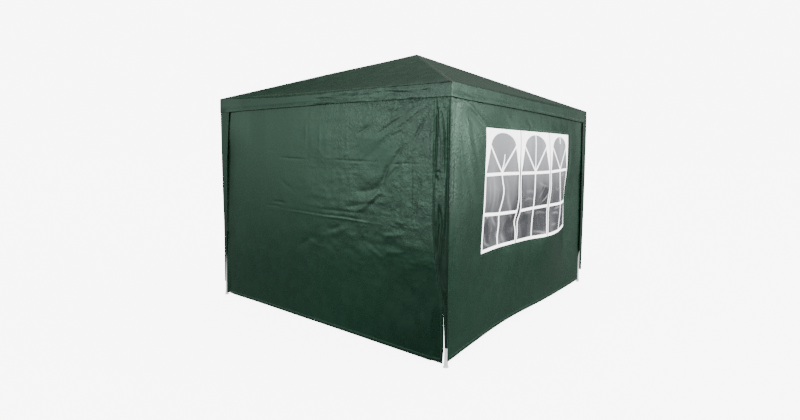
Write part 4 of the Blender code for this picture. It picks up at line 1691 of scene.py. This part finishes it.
# How far off the backdrop stands, how far below the feet the floor lies, and how much brighter
# than the floor the backdrop is
BACKDROP = 60
FLOOR_GAP = 0.0005
BACKDROP_SHARE = 1.15

# Each lamp's name, place and width, and the point that they all face
LAMPS = (
    ("softbox", (6.5, -7.5, 4.6), 3.0),
    ("side_softbox", (7.3, 4.1, 3.3), 3.2),
)
LAMP_AIM = (0, 0, 1.2)

# The camera: its place, its angles round, up and rolled in degrees, the picture's size and the
# pixel that it looks straight at
CAMERA_PLACE = (3.416, -4.355, 1.638)
CAMERA_ANGLES = (34.798, 2.868, 0.924)
PICTURE_WIDTH = 800
PICTURE_HEIGHT = 420
PICTURE_CENTRE = (442.616, 172.751)
SENSOR_WIDTH = 36
CAMERA_REACH = 400


def pale_surface(piece, name, base, roughness, brightness):
    """Makes the surface round the tent glow, for the camera's eye only."""
    piece.name = name
    made = Finish(
        "pale_" + name,
        Base_Color=(base, base, base, 1),
        Emission_Color=(1, 1, 1, 1),
        Emission_Strength=brightness,
        Roughness=roughness,
        Specular_IOR_Level=0.0,
    )
    piece.data.materials.append(made.material)
    piece.visible_diffuse = False
    piece.visible_glossy = False
    piece.visible_transmission = False
    piece.visible_shadow = False


def soft_sky(scene, settings):
    """The sky that lights the tent, bright on the left, above and far on the right."""
    scene.world = bpy.data.worlds.new("soft_sky")
    scene.world.use_nodes = True
    sky = Nodes(scene.world.node_tree)
    where = sky.node("ShaderNodeTexCoord").outputs["Generated"]
    parts = sky.node("ShaderNodeSeparateXYZ", Vector=where).outputs
    x, y, z = (Number(sky, part) for part in parts)
    # East runs from -1 to 1 round the horizon, and ahead is 1 on the camera's side of the tent
    level = (x * x + y * y + 0.0001) ** 0.5
    east = x / level
    ahead = (y / level).between(0.2, -0.2)
    front = east.between(-1.02, -0.52) * (1.0 - east.between(-0.45, 0.15) * 0.88)
    front = front * (1.0 + east.between(-0.80, -0.64) * 0.16)
    back = east.between(0.30, 0.44) * 0.50 + east.between(0.57, 0.70) * settings.window
    back = back + (0.24 + east.between(-0.95, -0.60) * 0.76) * settings.behind
    above = ahead * front * settings.sky + (1.0 - ahead) * back
    above = above * (1.0 - z.between(0.15, 0.6) * 0.6)
    above = above * (1.0 - z.between(0.15, 0.30) * (1.0 - east.between(-0.93, -0.78)) * 0.42)
    above = above * (1.0 + z.between(0.15, 0.25) * east.between(-0.62, -0.52) * 0.13)
    above = above + z.between(0.62, 0.85) * settings.zenith
    below = 1.0 - east.between(-0.95, -0.80) * 0.09 - east.between(-0.80, -0.60) * 0.40
    below = (below + east.between(-0.30, 0.30) * 0.69) * settings.ground
    rise = z.between(-0.25, 0.10)
    background = sky.tree.nodes["Background"]
    background.inputs["Color"].default_value = (1, 1, 1, 1)
    sky.feed(background.inputs["Strength"], (1.0 - rise) * below + above * rise)


def add_lamp(scene, name, place, size, power):
    """A round lamp that faces the tent."""
    lamp = bpy.data.objects.new(name, bpy.data.lights.new(name, "AREA"))
    scene.collection.objects.link(lamp)
    lamp.data.shape = "DISK"
    lamp.data.size = size
    lamp.data.energy = power
    lamp.location = place
    aim = Vector(LAMP_AIM) - lamp.location
    lamp.rotation_euler = aim.to_track_quat("-Z", "Y").to_euler()


def add_camera(scene, lens):
    """The photograph's own camera."""
    camera = bpy.data.objects.new("camera", bpy.data.cameras.new("camera"))
    scene.collection.objects.link(camera)
    camera.data.lens = lens
    camera.data.sensor_width = SENSOR_WIDTH
    camera.data.shift_x = (PICTURE_WIDTH / 2 - PICTURE_CENTRE[0]) / PICTURE_WIDTH
    camera.data.shift_y = (PICTURE_CENTRE[1] - PICTURE_HEIGHT / 2) / PICTURE_WIDTH
    camera.data.clip_end = CAMERA_REACH
    azimuth, elevation, roll = (math.radians(angle) for angle in CAMERA_ANGLES)
    level = math.cos(elevation)
    ahead = Vector((-math.sin(azimuth) * level, math.cos(azimuth) * level, -math.sin(elevation)))
    turn = ahead.to_track_quat("-Z", "Y").to_matrix() @ Matrix.Rotation(roll, 3, "Z")
    camera.matrix_world = Matrix.Translation(CAMERA_PLACE) @ turn.to_4x4()
    scene.camera = camera


class TENT_OT_stage(Operator):
    """Set the floor, the light and the camera"""

    bl_idname = "tent.stage"
    bl_label = "Stage"

    def execute(self, context):
        scene, settings = context.scene, context.scene.tent_stage
        bpy.ops.object.select_all(action="DESELECT")
        bpy.ops.mesh.primitive_plane_add(size=2 * BACKDROP, location=(0, 0, -FLOOR_GAP))
        pale_surface(context.object, "floor", 0.8, 0.9, settings.floor)
        bpy.ops.object.select_all(action="DESELECT")
        bpy.ops.mesh.primitive_uv_sphere_add(segments=64, ring_count=32, radius=BACKDROP)
        pale_surface(context.object, "backdrop", 0.0, 1.0, settings.floor * BACKDROP_SHARE)
        soft_sky(scene, settings)
        for name, place, size in LAMPS:
            add_lamp(scene, name, place, size, getattr(settings, name))
        add_camera(scene, settings.lens)
        return {"FINISHED"}


class TENT_PT_panel(Panel):
    """The tent's pieces, in the order in which they go up"""

    bl_idname = "TENT_PT_panel"
    bl_label = "Party tent"
    bl_space_type = "VIEW_3D"
    bl_region_type = "UI"
    bl_category = "Tent"

    def draw(self, context):
        for group in ("tent_sizes", "tent_colours", "tent_stage"):
            box = self.layout.box()
            settings = getattr(context.scene, group)
            for name in settings.bl_rna.properties.keys():
                if name not in ("rna_type", "name"):
                    box.prop(settings, name)
        for step in STEPS:
            self.layout.operator(step.bl_idname)


STEPS = (
    TENT_OT_frame,
    TENT_OT_roof,
    TENT_OT_valance,
    TENT_OT_tails,
    TENT_OT_walls,
    TENT_OT_windows,
    TENT_OT_stage,
)
CLASSES = (TentSizes, TentColours, StageSettings, *STEPS, TENT_PT_panel)


def register():
    for cls in CLASSES:
        bpy.utils.register_class(cls)
    bpy.types.Scene.tent_sizes = PointerProperty(type=TentSizes)
    bpy.types.Scene.tent_colours = PointerProperty(type=TentColours)
    bpy.types.Scene.tent_stage = PointerProperty(type=StageSettings)


def unregister():
    del bpy.types.Scene.tent_stage
    del bpy.types.Scene.tent_colours
    del bpy.types.Scene.tent_sizes
    for cls in reversed(CLASSES):
        bpy.utils.unregister_class(cls)


def main():
    register()
    for step in STEPS:
        group, name = step.bl_idname.split(".")
        getattr(getattr(bpy.ops, group), name)()


if __name__ == "__main__":
    main()
